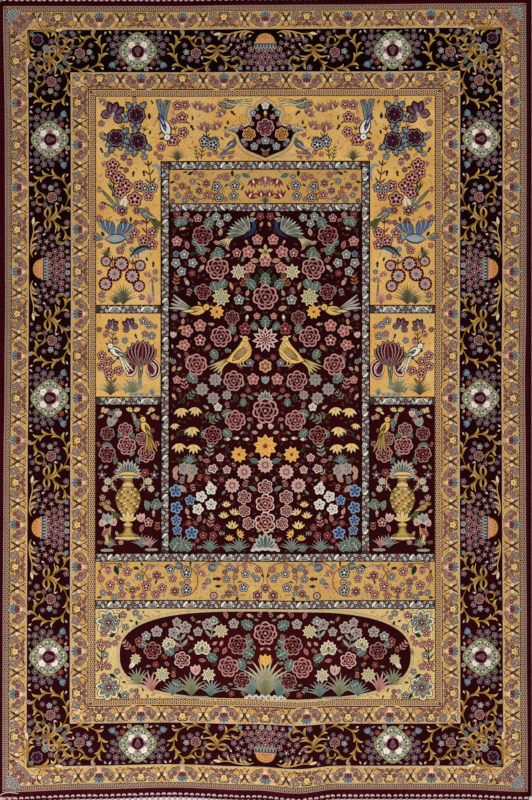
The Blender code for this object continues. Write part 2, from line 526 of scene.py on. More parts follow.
# ---- Leaves, growing up from their base, one unit long ----
def leaf(pen, dye, rim=None, rib=None, width=0.42):
    """A pointed leaf, with or without a rim and a rib of other dyes."""
    if rim:
        pen.fill(petal(1.06, width + 0.12, 0.9, 0.8, 4), rim)
    pen.fill(petal(1, width, 0.9, 0.8, 4), dye)
    if rib:
        pen.stroke([0.08j, 0.5j, 0.92j], (0.07, 0.05, 0.0), rib)


def rough_leaf(pen, dye, rim, rib, width=0.8):
    """A broad leaf with a toothed edge and pale ribs."""
    pen.fill(jagged(1.05, width + 0.12), rim)
    pen.fill(jagged(0.97, width * 0.86), dye)
    pen.stroke([0.05j, 0.5j, 0.9j], (0.08, 0.05, 0.0), rib)
    for sign in (-1, 1):
        pen.stroke([0.25j, sign * 0.22 + 0.5j], (0.04, 0.02), rib)
        pen.stroke([0.5j, sign * 0.16 + 0.72j], (0.04, 0.02), rib)


def spray(pen, dye, tip, pairs=3, spread=50, reach=0.45, width=0.14):
    """A stem with pairs of narrow leaves, and one at its tip."""
    pen.stroke([0j, 0.5j, 0.9j], (0.06, 0.03), dye)
    for i in range(pairs):
        up = 0.12 + 0.66 * i / max(1, pairs - 1)
        for sign in (-1, 1):
            pen.at(0, up, sign * spread, reach * (1.1 - 0.3 * up)).fill(
                petal(1, width / reach, 0.9, 0.8, 3), tip, dye, 0.2j
            )
    pen.at(0, 0.75).fill(petal(0.3, width, 0.9, 0.8, 3), tip)


def tuft(pen, dye, tip, blades=7, spread=62, width=0.13):
    """A tuft of long blades that bend outwards from one root."""
    for i in range(blades):
        lean = (2 * i / (blades - 1) - 1) * spread
        tall = 1.0 - 0.3 * abs(lean) / spread * (1 if i % 2 else 0.6)
        bend = math.radians(lean)
        end = (tall * math.sin(bend), tall * math.cos(bend) * 0.92)
        middle = (end[0] * 0.36, end[1] * 0.62)
        pen.stroke(curve((0, 0), middle, end, steps=4), (width * 0.6, width, 0), dye, tip)


def crown(pen, dye, tip, leaves=7, spread=70, width=0.34):
    """A fan of pointed leaves."""
    order = sorted(range(leaves), key=lambda i: -abs(2 * i - leaves + 1))
    for i in order:
        lean = (2 * i / (leaves - 1) - 1) * spread
        tall = 1 - 0.25 * abs(lean) / spread
        pair = (tall, width, tip), (tall * 0.8, width * 0.62, dye)
        pen.at(0, 0, -lean).layers((1.2, 0.8), *pair, detail=4)


def pebble_bank(pen):
    """A small bank of pebbles, two units wide."""
    for x, size in ((-0.7, 0.3), (-0.25, 0.36), (0.3, 0.4), (0.75, 0.28)):
        pen.dot(x, 0, size, "stone", "pewter", count=9, tall=0.62)


# ---- Birds and a moth, one unit long ----
def bird(pen, body, wing, tail, edge, beak, lift, feathers, cock=0):
    """A perched bird that faces to its right, its tail behind it, cocked up by an angle."""
    back = pen.at(0, 0, lift)
    rump = back.at(-0.12, 0, -cock)
    for i in range(feathers):
        drop = -0.02 - 0.045 * i
        line = curve((0, 0), (-0.34, drop * 1.3), (-0.74 + 0.06 * i, drop * 2.6), steps=4)
        rump.edged(line, (0.06, 0.08, 0.03), tail, edge, 0.035)
    back.at(-0.32, 0.02, -92).fill(petal(0.62, 0.34, 1.1, 0.8), edge)
    back.at(-0.30, 0.02, -92).fill(petal(0.56, 0.26, 1.1, 0.8), body)
    for i in range(4):
        pair = (1, 0.3, edge), (0.9, 0.19, wing, body if i % 2 else edge, 0.2j)
        plume = back.at(0.12 - 0.06 * i, 0.05 - 0.015 * i, 98 - 5 * i, 0.42)
        plume.layers((0.8, 0.8), *pair, detail=3)
    head = back.at(0.27, 0.07)
    head.fill(circle(0.115, 9), edge)
    head.fill(circle(0.09, 8), body)
    head.at(0.08, 0, -95).fill(petal(0.12, 0.06, 0.7, 0.8, 3), beak)
    head.fill(circle(0.022, 5), edge)


def flying_bird(pen, body, wing, tip, tail, edge):
    """A bird that flies to its right, both wings raised behind it."""
    for i in range(3):
        pair = (0.4, 0.12, edge), (0.36, 0.07, tip, tail, 0.15j)
        pen.at(-0.26, -0.26, 98 - 14 * i).layers((1.2, 0.7), *pair, detail=3)
    for side, base in ((-1, 0.0), (1, 0.08)):
        for i in range(6):
            reach = 0.7 - 0.03 * i
            pair = (reach, 0.15, edge), (reach * 0.94, 0.12, (tip, wing)[i % 2], wing, 0.5j * reach)
            feather = pen.at(base, -0.2 - 0.01 * i, -side * (50 - 8 * i))
            feather.layers((1.4, 0.7), *pair, detail=4)
    pen.at(-0.26, -0.28, -80).fill(petal(0.66, 0.3, 1.0, 0.8), edge)
    pen.at(-0.24, -0.27, -80).fill(petal(0.6, 0.23, 1.0, 0.8), body, tip)
    pen.at(0.4, -0.15).fill(circle(0.09, 8), edge)
    pen.at(0.4, -0.15).fill(circle(0.07, 8), body)
    pen.at(0.46, -0.15, -95).fill(petal(0.1, 0.05, 0.7, 0.8, 3), "rust")


def moth(pen, wing, edge, mark):
    """A moth seen from above."""
    for sign in (-1, 1):
        for lean, reach in ((48, 0.95), (112, 0.7)):
            part = pen.at(0, 0, sign * lean)
            part.layers((1.4, 0.5), (reach, 0.72, edge), (reach * 0.88, 0.56, wing))
            part.fill(circle(0.12, 6) + 0.55j * reach, mark)
    pen.fill(circle(0.13, 8, 3.2), edge)


# ---- Gold scrolls ----
DARK_EDGE = 0.8  # how much wider than a gold leaf the dark one under it is


def blade(pen, length, width, dye, tip, curl=0.62):
    """A curled leaf from its base, broad in its middle, over a thin dark edge."""
    line = curve((0, 0), (-curl * 0.12, 0.42), (curl * 0.2, 0.8), (curl, 1.0), steps=3) * length
    wide = np.array((0.35, 0.8, 1.0, 0.9, 0.5, 0.05)) * width
    pen.edged(line, wide, dye, "ink", DARK_EDGE, tip)


def barbed(pen, line, width, dye, tip, barbs, length, lean):
    """A scroll stem that swells and thins, with curled leaves off it.

    Each barb is a share along the stem, with the side it grows to: 1 for left, -1 for right.
    """
    for share, side in barbs:
        i = min(len(line) - 2, max(1, int(share * (len(line) - 1))))
        heading = math.degrees(cmath.phase(line[i + 1] - line[i - 1])) - 90
        root = pen.at(line[i].real, line[i].imag, heading + side * lean, 1, side > 0)
        blade(root, length, length * 0.27, dye, tip, 0.34)
    pen.stroke(line, width + DARK_EDGE, "ink")
    pen.stroke(line, (width * 0.5, width, width, width * 0.6, 0.3), dye, tip)


# ---- Tones of the grounds ----
def grain(x, y, scale, seed=0):
    """Smooth noise over the rug, from 0 to 1."""
    return min(1, max(0, 0.5 + 0.8 * noise.noise(Vector((x / scale, y / scale, seed)))))


def gold_tone(x, y):
    """Gold, clouded with amber and straw."""
    warm = blend("gold", "amber", 0.8 * grain(x, y, 34, 1))
    return blend(warm, "straw", 0.5 * grain(x, y, 55, 5))


def border_gold_tone(x, y):
    """Paler towards the bottom end."""
    down = min(1, max(0, -y / 750))
    return blend(blend(gold_tone(x, y), "mustard", 0.45), "straw", 0.5 * down * down)


def pale_gold_tone(x, y):
    """Gold paled with straw, and a little green."""
    return blend(blend(gold_tone(x, y), "straw", 0.6), "moss", 0.07)


def main_tone(x, y):
    """Nearly black at the top end, dark wine at the bottom one."""
    down = max(0, 0.5 - y / 1300)
    return blend(blend("ink", "plum", down), "ink", 0.3 * grain(x, y, 45, 9))


def niche_tone(x, y):
    """Wine clouded with claret, darker in the niche's upper part."""
    return blend(blend("ink", "wine", 0.55 + 0.3 * (y < 60)), "claret", 0.4 * grain(x, y, 42, 3))


def lace_tone(x, y):
    """Brown, finely clouded."""
    return blend("lace ground", "umber", 0.5 * grain(x, y, 12, 2))


# ---- The kinds of flower and leaf that are set out by tables ----
# What draws each kind, and the dyes and numbers that it takes.
KINDS = {
    # on dark grounds
    "dusky floret": (floret, ("dusky pink", "maroon", "blush")),
    "dusky star": (daisy, ("dusky pink", "violet", "blush", 5)),
    "dim leaf": (leaf, ("violet", None, "mauve")),
    "dim spray": (spray, ("maroon", "rose", 3, 46, 0.4, 0.1)),
    "dim sage spray": (spray, ("olive", "moss", 3, 46, 0.4, 0.1)),
    "mauve floret": (floret, ("mauve", "violet", "blush")),
    "grey floret": (floret, ("pewter", "violet", "stone")),
    "pale floret": (floret, ("stone", "mauve", "ink")),
    "white floret": (floret, ("blush", "rose", "ink")),
    "blue floret": (floret, ("stone", "slate", "white")),
    "deep blue floret": (floret, ("sky", "navy", "ink")),
    "pink floret": (floret, ("pink", "maroon", "cream")),
    "rose floret": (floret, ("rose", "maroon", "pink")),
    "peach floret": (floret, ("pink", "rose", "peach", 5, None)),
    "cream floret": (floret, ("white", "stone", "maroon")),
    "small star": (daisy, ("mauve", "violet", "blush", 5)),
    "pink star": (daisy, ("pink", "maroon", "blush", 5)),
    "cream star": (star_flower, ("cream", "sage", "amber", 8)),
    "straw star": (star_flower, ("straw", "sage", "stone", 9)),
    "yellow daisy": (star_flower, ("gold", "amber", "rust", 9, 2, 0.5)),
    "yellow lily": (lily, ("straw", "gold", "rust")),
    "amber bud": (lily, ("gold", "amber", "rust")),
    "ring daisy": (round_daisy, ("blush", "rose", "maroon", "pink")),
    "teal tulip": (tulip, ("slate", "sky")),
    "grey tulip": (tulip, ("stone", "slate")),
    "maroon tulip": (tulip, ("rose", "claret")),
    "pink tulip": (tulip, ("blush", "rose")),
    "wine rose": (rose, ("claret", "pink", "dusky pink")),
    "rose": (rose, ("maroon", "pink", "dusky pink")),
    "dark rose": (rose, ("wine", "dusky pink", "rose")),
    "wine peony": (rose, ("maroon", "blush", "pink", 6)),
    "grey cluster": (cluster, ("stone", "mauve")),
    "amber rosette": (rose, ("rust", "peach", "amber")),
    "violet rosette": (rose, ("violet", "pink", "rose")),
    "yellow star": (daisy, ("straw", "mustard", "moss", 5)),
    "pale bud": (peony, ("violet", "mauve", "stone")),
    "lotus": (star_flower, ("blush", "maroon", "rose", 11, 3, 0.36)),
    "lilac floret": (floret, ("mauve", "slate", "blush")),
    "amber blossom": (floret, ("peach", "rose", "amber", 6)),
    "yellow drop": (lily, ("straw", "gold", "amber")),
    "white spray": (spray, ("pewter", "stone")),
    "blush leaf": (leaf, ("blush", "pink", "mauve")),
    "blue bell": (floret, ("sky", "blue", "ink")),
    "maroon lily": (lily, ("rose", "claret", "white")),
    "amber tulip": (tulip, ("gold", "amber")),
    "cream blades": (tuft, ("moss", "cream", 13, 58, 0.07)),
    "sage blades": (tuft, ("teal", "stone", 11, 50, 0.08)),
    "pale palmette": (palmette, ("sage", "cream", "moss")),
    # buds
    "peach bud": (bud, ("peach", "rust")),
    "pink bud": (bud, ("pink", "sage")),
    "lilac bud": (bud, ("mauve", "sage")),
    "white bud": (bud, ("blush", "mauve")),
    "gold bud": (bud, ("gold", "moss")),
    # leaves
    "sage leaf": (leaf, ("sage", None, "green")),
    "teal leaf": (leaf, ("teal", "sage", "sage")),
    "gold leaf": (leaf, ("mustard", None, "straw")),
    "cream leaf": (leaf, ("cream", None, "mustard")),
    "pink leaf": (leaf, ("rose", "pink")),
    "peach leaf": (leaf, ("dusky pink", "peach")),
    "moss leaf": (leaf, ("green", "moss")),
    "long leaf": (leaf, ("green", None, "sage", 0.1)),
    "long gold leaf": (leaf, ("mustard", "umber", "straw", 0.2)),
    "rough sage leaf": (rough_leaf, ("teal", "sage", "stone")),
    "sage spray": (spray, ("sage", "stone")),
    "moss spray": (spray, ("moss", "sage")),
    "rust spray": (spray, ("rust", "salmon")),
    "pink spray": (spray, ("rose", "pink")),
    "sage tuft": (tuft, ("teal", "stone", 9, 60, 0.085)),
    "cream tuft": (tuft, ("moss", "stone", 9, 56, 0.085)),
    "green tuft": (tuft, ("olive", "sage", 13, 64, 0.06)),
    "pink tuft": (tuft, ("rose", "blush", 7, 52, 0.09)),
    "crown": (crown, ("teal", "stone")),
    # outlined, for gold grounds
    "gold ground floret": (floret, ("pink", "claret", "blush", 5, "maroon")),
    "gold ground rose floret": (floret, ("dusky pink", "claret", "blush", 6, "wine")),
    "gold ground violet floret": (floret, ("stone", "navy", "white", 5, "navy")),
    "gold ground daisy": (ring_daisy, ("claret", "maroon", "blush", "slate", 11)),
    "garden rose": (garden_rose, ()),
    "gold ground lily": (lily, ("pink", "claret", "straw", "wine")),
    "gold ground iris": (iris, ("mauve", "violet", "stone", "ink")),
    "gold ground tulip": (tulip, ("pink", "maroon", "ink")),
    "gold ground bud": (bud, ("maroon", "green")),
    "grass blade": (leaf, ("moss", "umber", None, 0.1)),
    "jagged leaf": (rough_leaf, ("slate", "ink", "stone", 1.0)),
    "rust sprig": (spray, ("rust", "brown", 3, 40, 0.3, 0.07)),
    "twig": (spray, ("umber", "moss", 4, 38, 0.32, 0.06)),
}


def rows_of(table):
    """Each motif of a table: kind, across, along, size and turn in degrees.

    A table lists its motifs by kind, in the order in which they are laid, the turn last if any.
    """
    for kind, spots in table.items():
        for x, y, size, *turn in spots:
            yield kind, x, y, size, turn[0] if turn else 0


def plant(pen, table):
    """Draws a table of motifs.

    What stands on the middle line is drawn once, by the pen that isn't mirrored.
    """
    for kind, x, y, size, turn in rows_of(table):
        if x or not pen.mirrored:
            make, dyes = KINDS[kind]
            make(pen.at(x, y, turn, size), *dyes)


def both(pen, *tables):
    """Draws tables of motifs on both sides of a pen, one table after the other."""
    for table in tables:
        for side in pen.sides():
            plant(side, table)


def footprint(kind, x, y, size, turn):
    """The middle of the spot that a motif takes up, and that spot's radius."""
    if not any(part in kind for part in ("leaf", "spr", "twig", "tuft", "blade", "crown")):
        return x, y, size
    middle = complex(x, y) + cmath.rect(size / 2, math.radians(turn + 90))
    return middle.real, middle.imag, size * (0.45 if "tuft" in kind or "crown" in kind else 0.28)


def sown(seed, box, kinds, tries, sizes, tables, gap=1.0, room=None):
    """A table of small motifs strewn between those of others, none nearer than the gap."""
    chance = random.Random(seed)
    taken = [footprint(*row) for table in tables for row in rows_of(table)]
    strewn = {}
    for _ in range(tries):
        size = chance.uniform(*sizes)
        x = chance.uniform(box[0], box[1])
        y = chance.uniform(box[2], box[3])
        kind = chance.choice(kinds)
        turn = chance.uniform(0, 360)
        if room and not room(x, y):
            continue
        if all(math.hypot(x - a, y - b) > size + r + gap for a, b, r in taken):
            taken.append((x, y, size))
            spot = (x, y, size, turn)
            if "leaf" in kind or "spr" in kind:
                root = complex(x, y) - cmath.rect(size, math.radians(turn + 90))
                spot = (root.real, root.imag, 2 * size, turn)
            strewn.setdefault(kind, []).append(spot)
    return strewn


# ---- Guards and gold borders ----
# Half the width and length of each band's outer edge.
LACE_OUTER = (496.0, 744.5)
GOLD_OUTER = (484.0, 734.7)
LINE_OUTER = (453.0, 702.0)
MAIN = (451.0, 700.0)
LINE_INNER = (370.0, 618.7)
GOLD_INNER = (367.3, 616.4)
LINE_FIELD = (336.9, 587.5)
LACE_INNER = (335.0, 585.0)
FIELD = (322.6, 573.2)
LACE_PITCH = 8.2
LACE_CELL = 6  # millimetres between the points of the lace's ground
LINE_CELL = 12  # and of a plain line
# From one motif of a gold border to the next, along the ends and along the sides.
OUTER_SPACING = (78.7, 80.1)
INNER_SPACING = (78.7, 80.2)


def midway(outer, inner):
    """The rectangle in the middle of a band."""
    return (outer[0] + inner[0]) / 2, (outer[1] + inner[1]) / 2


def sides_of(pen, size):
    """For each side of a rectangle: a pen at its middle, facing outwards, and half its length."""
    wide, tall = size
    return (
        (pen.at(0, tall), wide),
        (pen.at(wide, 0, -90), tall),
        (pen.at(0, -tall, 180), wide),
        (pen.at(-wide, 0, 90), tall),
    )


def outlined(pen, size, width, dye):
    """A thin line round a rectangle."""
    for side, half in sides_of(pen, size):
        side.stroke(np.linspace(-half, half, round(half / 5)) + 0j, width, dye)


def lace_guard(pen, outer, inner, pale, cream):
    """A narrow guard of two rows of small rings that stand in each other's gaps."""
    pen.pile.band(outer, inner, lace_tone, LACE_CELL)
    depth = outer[0] - inner[0]
    for side, half in sides_of(pen, midway(outer, inner)):
        count = round(2 * half / LACE_PITCH)
        pitch = 2 * half / count
        for k in (*range(0, count, 2), *range(1, count, 2)):
            across = (k + 0.5) * pitch - half
            outward = side.at(across, depth * 0.22)
            inward = side.at(across + pitch / 2, -depth * 0.2)
            for ring, tall, dye, hole, ground in (
                (outward, 0.78, pale, 0.29, "olive"), (inward, 0.72, cream, 0.27, "umber"),
            ):
                ring.fill(circle(pitch * 0.47, 6, tall), dye)
                ring.fill(circle(pitch * hole, 4, 0.8), ground)
    outlined(pen, (outer[0] - 0.6, outer[1] - 0.6), 1.2, pale)
    outlined(pen, inner, 1.2, "brown")


# In one half of a cartouche, across from its middle and outwards.
CARTOUCHE_POSY = {
    "moss leaf": ((22, -12, 7.2, 70),),
    "gold ground rose floret": ((9, 0.5, 4.5), (14, -8.5, 4.1), (4.8, -10, 3.8, 30)),
    "gold ground floret": ((19, 0.5, 4.7, 10), (25, 12.5, 2.7, 40), (24, -12.5, 2.7, 40)),
    "gold ground violet floret": ((17, 10, 3.6),),
    "gold ground bud": ((9, 9, 3.6, 40),),
}
# In one half of a border palmette.
LOTUS_POSY = {
    "moss leaf": ((13, -13, 10.8, -60), (26, -2, 10.8, 10)),
    "peach leaf": ((22, -8, 9, 110), (29, 6, 7.2, 120)),
    "gold ground rose floret": ((14.5, -1.5, 4.7), (21, 6, 4.3)),
    "gold ground floret": ((9, -10.5, 4.3), (24.5, -3, 3.4)),
    "gold ground violet floret": ((18, -8.5, 3.6),),
    "gold ground bud": ((27, 12, 3.2, 60),),
}


def cartouche(pen):
    """An oval frame along the border with blossoms in it, open to both sides."""
    for side in pen.sides():
        side.stroke(arc(17.5, -70, 70, 9, 0.84) + 18.6, (0.6, 3.6, 3.6, 0.6), "gold", "straw")
        side.stroke(arc(15, -84, 84, 9, 0.9) + 18, (0.8, 3.4, 3.4, 0.8), "umber")
        side.at(26, 5, 0, 5.2).fill(lobed(1, 5, 0.15), "pewter", "slate")
        side.dot(26, 5, 2.2, "stone", "navy", count=6)
        side.dot(25.5, -6, 5, "brown", tall=1.2)
        side.dot(25.5, -6, 4, "gold", "salmon", tall=1.2)
        plant(side, CARTOUCHE_POSY)
        side.stroke(curve((0, 12.5), (6, 13), (11, 10.6)), (1.4, 2.2, 0.6), "green")
    floret(pen.at(0, 4.5, 0, 6.5), "straw", "gold", "rust", 5, "umber")
    floret(pen.at(0, -5, 36, 3.2), "rose", "maroon", "peach", 5, "umber")


def border_lotus(pen):
    """A palmette on a cool grey fan, facing in from the border's outer edge."""
    for side in pen.sides():
        side.edged(curve((3, -13), (15, -15), (26, -9), (32, 3)), (1, 3.4, 3, 0.5), "gold", "brown")
        side.edged(curve((20, 14), (27, 11), (31, 6)), (1, 3, 0.6), "straw", "brown")
        plant(side, LOTUS_POSY)
    fan = pen.at(0, 3.5)
    for lean in (-66, 66, -36, 36, 0):
        fan.at(0, 0, lean, 14).layers((1.3, 0.7), (1, 0.5, "stone"), (0.88, 0.36, "teal", "slate"))
    cup = pen.at(0, 4.5, 180)
    for lean in (-70, 70, -40, 40, 0):
        outer = cup.at(0, 0, lean, 14 - abs(lean) / 20)
        outer.layers((1.2, 0.75), (1, 0.5, "pink"), (0.9, 0.4, "maroon", "violet"))
    pen.dot(0, -7, 3, "white", "pink")


def crossed_leaves(pen):
    """Two leaf stems that cross between the border's motifs, with a bud in each gap."""
    for side in pen.sides():
        side.edged(curve((-12, 11), (-7, 1), (-9, -9)), (0.6, 3.0, 0.6), "straw", "brown", 0.8)
        stem = curve((-9, 14), (-3, 5), (1, -3), (9, -14))
        side.edged(stem, (1.2, 3.2, 2.6, 1), "brown", "umber", 0.8)
    for x, y, tall in ((0, -9, 1.3), (0, 11, 1.0), (-6.5, 1, 1.2), (6.5, 1, 1.2)):
        spot = pen.at(x, y, 0, 3.6 if x else 4.2)
        spot.fill(circle(1.2, 8, tall), "brown")
        spot.fill(circle(0.95, 8, tall), "cream" if x else "peach", "peach" if x else "salmon")


def gold_border(pen, outer, inner, spacing, lotus_in_middle):
    """A row of cartouches and palmettes by turns, round the rug."""
    pen.pile.band(outer, inner, border_gold_tone)
    middle = midway(outer, inner)
    for k, (side, half) in enumerate(sides_of(pen, middle)):
        pitch = spacing[k % 2]
        even_is_lotus = lotus_in_middle[k % 2]
        last = int(half / pitch - 0.3)
        for i in range(-last, last + 1):
            unit = side.at(i * pitch, 0)
            (border_lotus if (i % 2 == 0) == even_is_lotus else cartouche)(unit)
        for i in range(-last - 1, last + 1):
            crossed_leaves(side.at((i + 0.5) * pitch, 0))


def corner_pens(pen, size):
    """A pen at each corner of a rectangle, facing out along its diagonal."""
    wide, tall = size
    for x, y, turn in ((1, 1, -45), (1, -1, -135), (-1, -1, 135), (-1, 1, 45)):
        yield pen.at(x * wide, y * tall, turn)


# Beside a corner's fan, across from the diagonal and outwards along it.
CORNER_FLORETS = {
    "peach leaf": ((22, -4, 11, 40), (27, -22, 9, 130)),
    "gold ground rose floret": ((7, 1, 5.2), (5, -9, 5), (22, -15, 5, 40)),
    "gold ground floret": ((15, -7, 5.2, 20), (4, -18, 4.6)),
    "gold ground violet floret": ((13, -17, 4.4),),
    "gold ground bud": ((30, -12, 4, 60),),
}


def corner_fan(pen):
    """A cool grey fan in the border's corner, over its guard, with florets inside it."""
    for side in pen.sides():
        side.edged(curve((2, -27), (14, -27), (26, -24), (33, -17)), (1, 3.2, 0.6), "gold", "brown")
    both(pen, CORNER_FLORETS)
    for lean in (-60, 60, -38, 38, -18, 18, 0):
        rays = (1, 0.42, "ink"), (0.95, 0.33, "stone"), (0.82, 0.2, "fog", "slate")
        pen.at(0, 3, lean, 25 - abs(lean) / 12).layers((1.3, 0.7), *rays)
    pen.dot(0, 4, 4, "pink", "maroon")


# ---- The main border ----
MEDALLION_STEP = (242.0, 491.5)  # from the middle of an end, and of a side
BASKET_STEP = 245.7  # from the middle of a side


def medallion(pen):
    """A rounded lozenge with drawn-out tips, a mottled pale rim and a dark heart."""
    angle = np.radians(np.arange(0, 360, 5))
    tips = np.abs(np.cos(2 * angle)) ** 4
    outline = (31.2 + 4.6 * tips) * np.exp(1j * angle)
    pen.fill(outline * 1.03, "olive")
    pen.fill(outline, blend("straw", "moss", 0.55))
    pen.fill(outline * 0.95, "sage", "stone")
    for i in range(72):
        turn = 5 * i
        reach = 25 + 3.4 * abs(math.cos(math.radians(2 * turn))) ** 4 + (2.6, 0.2, -2.0)[i % 3]
        dye = ("moss", "cream", "olive", "straw", "stone", "olive")[i % 6]
        pen.at(0, 0, turn - 90).dot(0, reach, 1.9, dye, count=5)
    pen.fill(lobed(20.5, 8, 0.14), "moss")
    pen.fill(lobed(19.5, 8, 0.14), "sage", "pewter")
    for corner, face in zip(pen.around(4, 45), pen.around(4)):
        corner.at(0, 16.4, 0, 7.0).fill(lobed(1, 5, 0.16), "white", "cream")
        for across in (-3.4, 3.4):
            face.dot(across, 18, 3.0, "blush", "navy", count=7)
        face.dot(0, 14.5, 3.2, "mauve", "violet", count=7)
    heart = pen.at(0, -1)
    heart.fill(lobed(13.6, 5, 0.08, 6), "mauve")
    heart.fill(lobed(12.2, 5, 0.08, 6), "claret", "ink")
    floret(heart.at(0, 2.2, 0, 6), "mauve", "wine", "rose", 5)
    tulip(heart.at(0, -6, 0, 3.6), "mauve", "violet")


# Beside a medallion, across from its middle and outwards.
MEDALLION_POSY = {
    "grey floret": (
        (27, 25, 6.4), (35, 13, 5.8, 40), (40, 1, 4.6), (47, -4, 5.4, 15), (40, -21, 4.6, 30),
        (55, 22, 5, 10), (40, 36, 4.2),
    ),
    "mauve floret": ((41, 25, 6.2, 20), (47, 11, 6.2), (35, -11, 5.6, 15)),
    "rose floret": ((29, -23, 5.2),),
    "pale floret": ((16, -34, 4.8),),
    "peach bud": ((26, -33, 4.4, 60),),
    "lilac bud": ((14, 34, 4.4, -60), (27, 36.5, 3.8, -110), (37, -34, 4, 110), (57, 3, 3.4, 40)),
    "white bud": ((52, 35, 4, -40), (62, 34, 3.6, 30)),
    "teal tulip": ((48, -26, 8.5, -160),),
}
# Inside and beside the scroll.
SCROLL_POSY = {
    "blue floret": ((92, -2, 5.6, 10),),
    "mauve floret": ((99, -15, 5.8, 30), (89, 11, 4.6), (134, 22, 5.4), (158, -33, 5.6)),
    "wine rose": ((110, -4, 10.5),),
    "grey floret": (
        (124, 9, 5), (122, 31, 5, 30), (128, -2, 4), (134, -36, 4, 90), (86, -12, 4.2), (113, -19, 4.4),
    ),
    "small star": ((111, 36, 4.4), (141, 35, 4.4)),
    "white bud": ((122, -14, 4, 20), (68, -33, 3.8, 120)),
    "pale floret": ((84, 37, 4),),
}
# Along the spiral's stem, each leaf's share of its length and the side that it grows to.
SCROLL_BARBS = (
    (0.03, 1), (0.08, -1), (0.12, 1), (0.2, 1), (0.24, -1), (0.28, 1), (0.36, 1), (0.4, -1),
    (0.44, 1), (0.52, 1), (0.56, -1), (0.6, 1), (0.68, 1), (0.72, -1), (0.77, 1), (0.86, 1),
)
# Turn, length and side of each leaf at the foot of a scroll.
TRUNK_LEAVES = (
    (148, 27, 1), (-148, 27, -1), (108, 23, 1), (-108, 23, -1), (180, 20, 1), (64, 19, -1),
    (-64, 19, 1),
)
LEAF_LIGHT = blend("gold", "cream", 0.25)  # the light side of the scroll's leaves


def scroll(pen):
    """The gold spiral beside a medallion, and the leafy trunk that it springs from."""
    line = curve(
        (150, 0), (138, -20), (120, -33), (98, -35), (80, -27), (70, -12), (69, 5), (76, 20),
        (88, 27), (99, 21), (104, 12), (112, 8),
        steps=6,
    )
    barbed(pen, line, 1.3, "old gold", LEAF_LIGHT, SCROLL_BARBS, 17, 17)
    hook = curve((112, 8), (121, 10), (125, 19), (119, 26), (110, 24), steps=5)
    barbed(pen, hook, 1.4, "old gold", "gold", ((0.3, 1), (0.6, 1), (0.9, 1)), 10, 30)
    root = pen.at(150, 4)
    for turn, reach, side in TRUNK_LEAVES:
        blade(root.at(0, 0, turn, 1, side < 0), reach, 4.0, "old gold", LEAF_LIGHT)
    tail = curve((154, -4), (163, -18), (178, -31), (193, -31), (197, -20), (189, -13), steps=5)
    barbs = ((0.15, 1), (0.25, -1), (0.36, 1), (0.46, -1), (0.56, 1), (0.68, 1), (0.8, 1), (0.92, 1))
    barbed(pen, tail, 1.4, "old gold", LEAF_LIGHT, barbs, 15, 30)
    plant(pen, SCROLL_POSY)


# Under a basket, across from its middle and outwards.
BASKET_POSY = {
    "dusky floret": ((0, -2, 6.6), (7, -13, 6.6, 10), (13.5, -24, 6.4), (27, 2, 6.2), (27, -22, 6, 10)),
    "mauve floret": (
        (13, 0, 6.4, 20), (20, -11, 6.4), (0, -24, 6.4, 30), (33, -10, 6, 30), (39, -22, 5.6),
        (20, -35, 5.2, 20), (60, -4, 5.6), (62, 22, 5.4), (76, 18, 5.2),
    ),
    "pale floret": ((7, -34, 5.4),),
    "pink star": ((33, -33, 5),),
    "dusky star": ((40, 11, 6.4), (52, 6, 6.2, 30), (45, -5, 5.6, 15), (52, 19, 5), (62, -17, 4.6)),
    "grey floret": ((41, 24, 5.4, 30), (75, 4, 4.6), (30, 14, 4.4)),
    "white bud": ((66, 10, 4, 30), (30, 27, 3.6, 60)),
    "lilac bud": ((49, -15, 4, -40),),
    "teal tulip": ((48, -33, 6, 190),),
}


def basket(pen):
    """An orange bowl under the border's outer edge, flowers spilling inwards from it."""
    for side in pen.sides():
        rise = curve((22, 33), (34, 36.5), (52, 35), (72, 31), (90, 34), steps=6)
        barbs = ((0.2, -1), (0.36, -1), (0.52, -1), (0.68, -1), (0.84, -1))
        barbed(side, rise, 2.4, "mustard", "peach", barbs, 15, 40)
        side.at(84, 32.5, -98, 15).fill(petal(1, 0.36, 0.8), "cream", "peach", 0.3j)
    both(pen, BASKET_POSY)
    dome = arc(20, 0, 180, 14, 0.92) + 15j
    pen.fill(np.append(dome, [-20 + 15j]), "brown")
    pen.fill(arc(18, 0, 180, 14, 0.9) + 15.6j, "amber", "salmon", 22j)
    for i in range(5):
        pen.dot(-12 + 6 * i, 20 + (4, 7, 8, 7, 4)[i], 1.3, "rust", count=6)
        pen.dot(-9 + 4.5 * i, 20, 1.1, "gold", count=6)
    pen.stroke(np.linspace(-21, 21, 9) + 14.6j, 2.2, "pink")
    for i in range(7):
        spike = pen.at(-18 + 6 * i, 13.5, 180, 12)
        spike.layers((0.8, 0.8), (1, 0.55, "stone"), (0.84, 0.36, "teal", "green"))


# Round a corner, in the frame whose +Y runs out along its diagonal.
CORNER_POSY = {
    "teal leaf": ((3, -42, 15, -30),),
    "mauve floret": ((16, 9, 5.4), (55, -6, 4.6)),
    "grey floret": ((26, 3, 4.8), (19, -7, 4.4), (47, 4, 4.2)),
    "small star": ((10, -3, 4.8),),
    "white bud": ((26, 17, 4, -70),),
    "lilac bud": ((38, 9, 3.8, -30),),
}


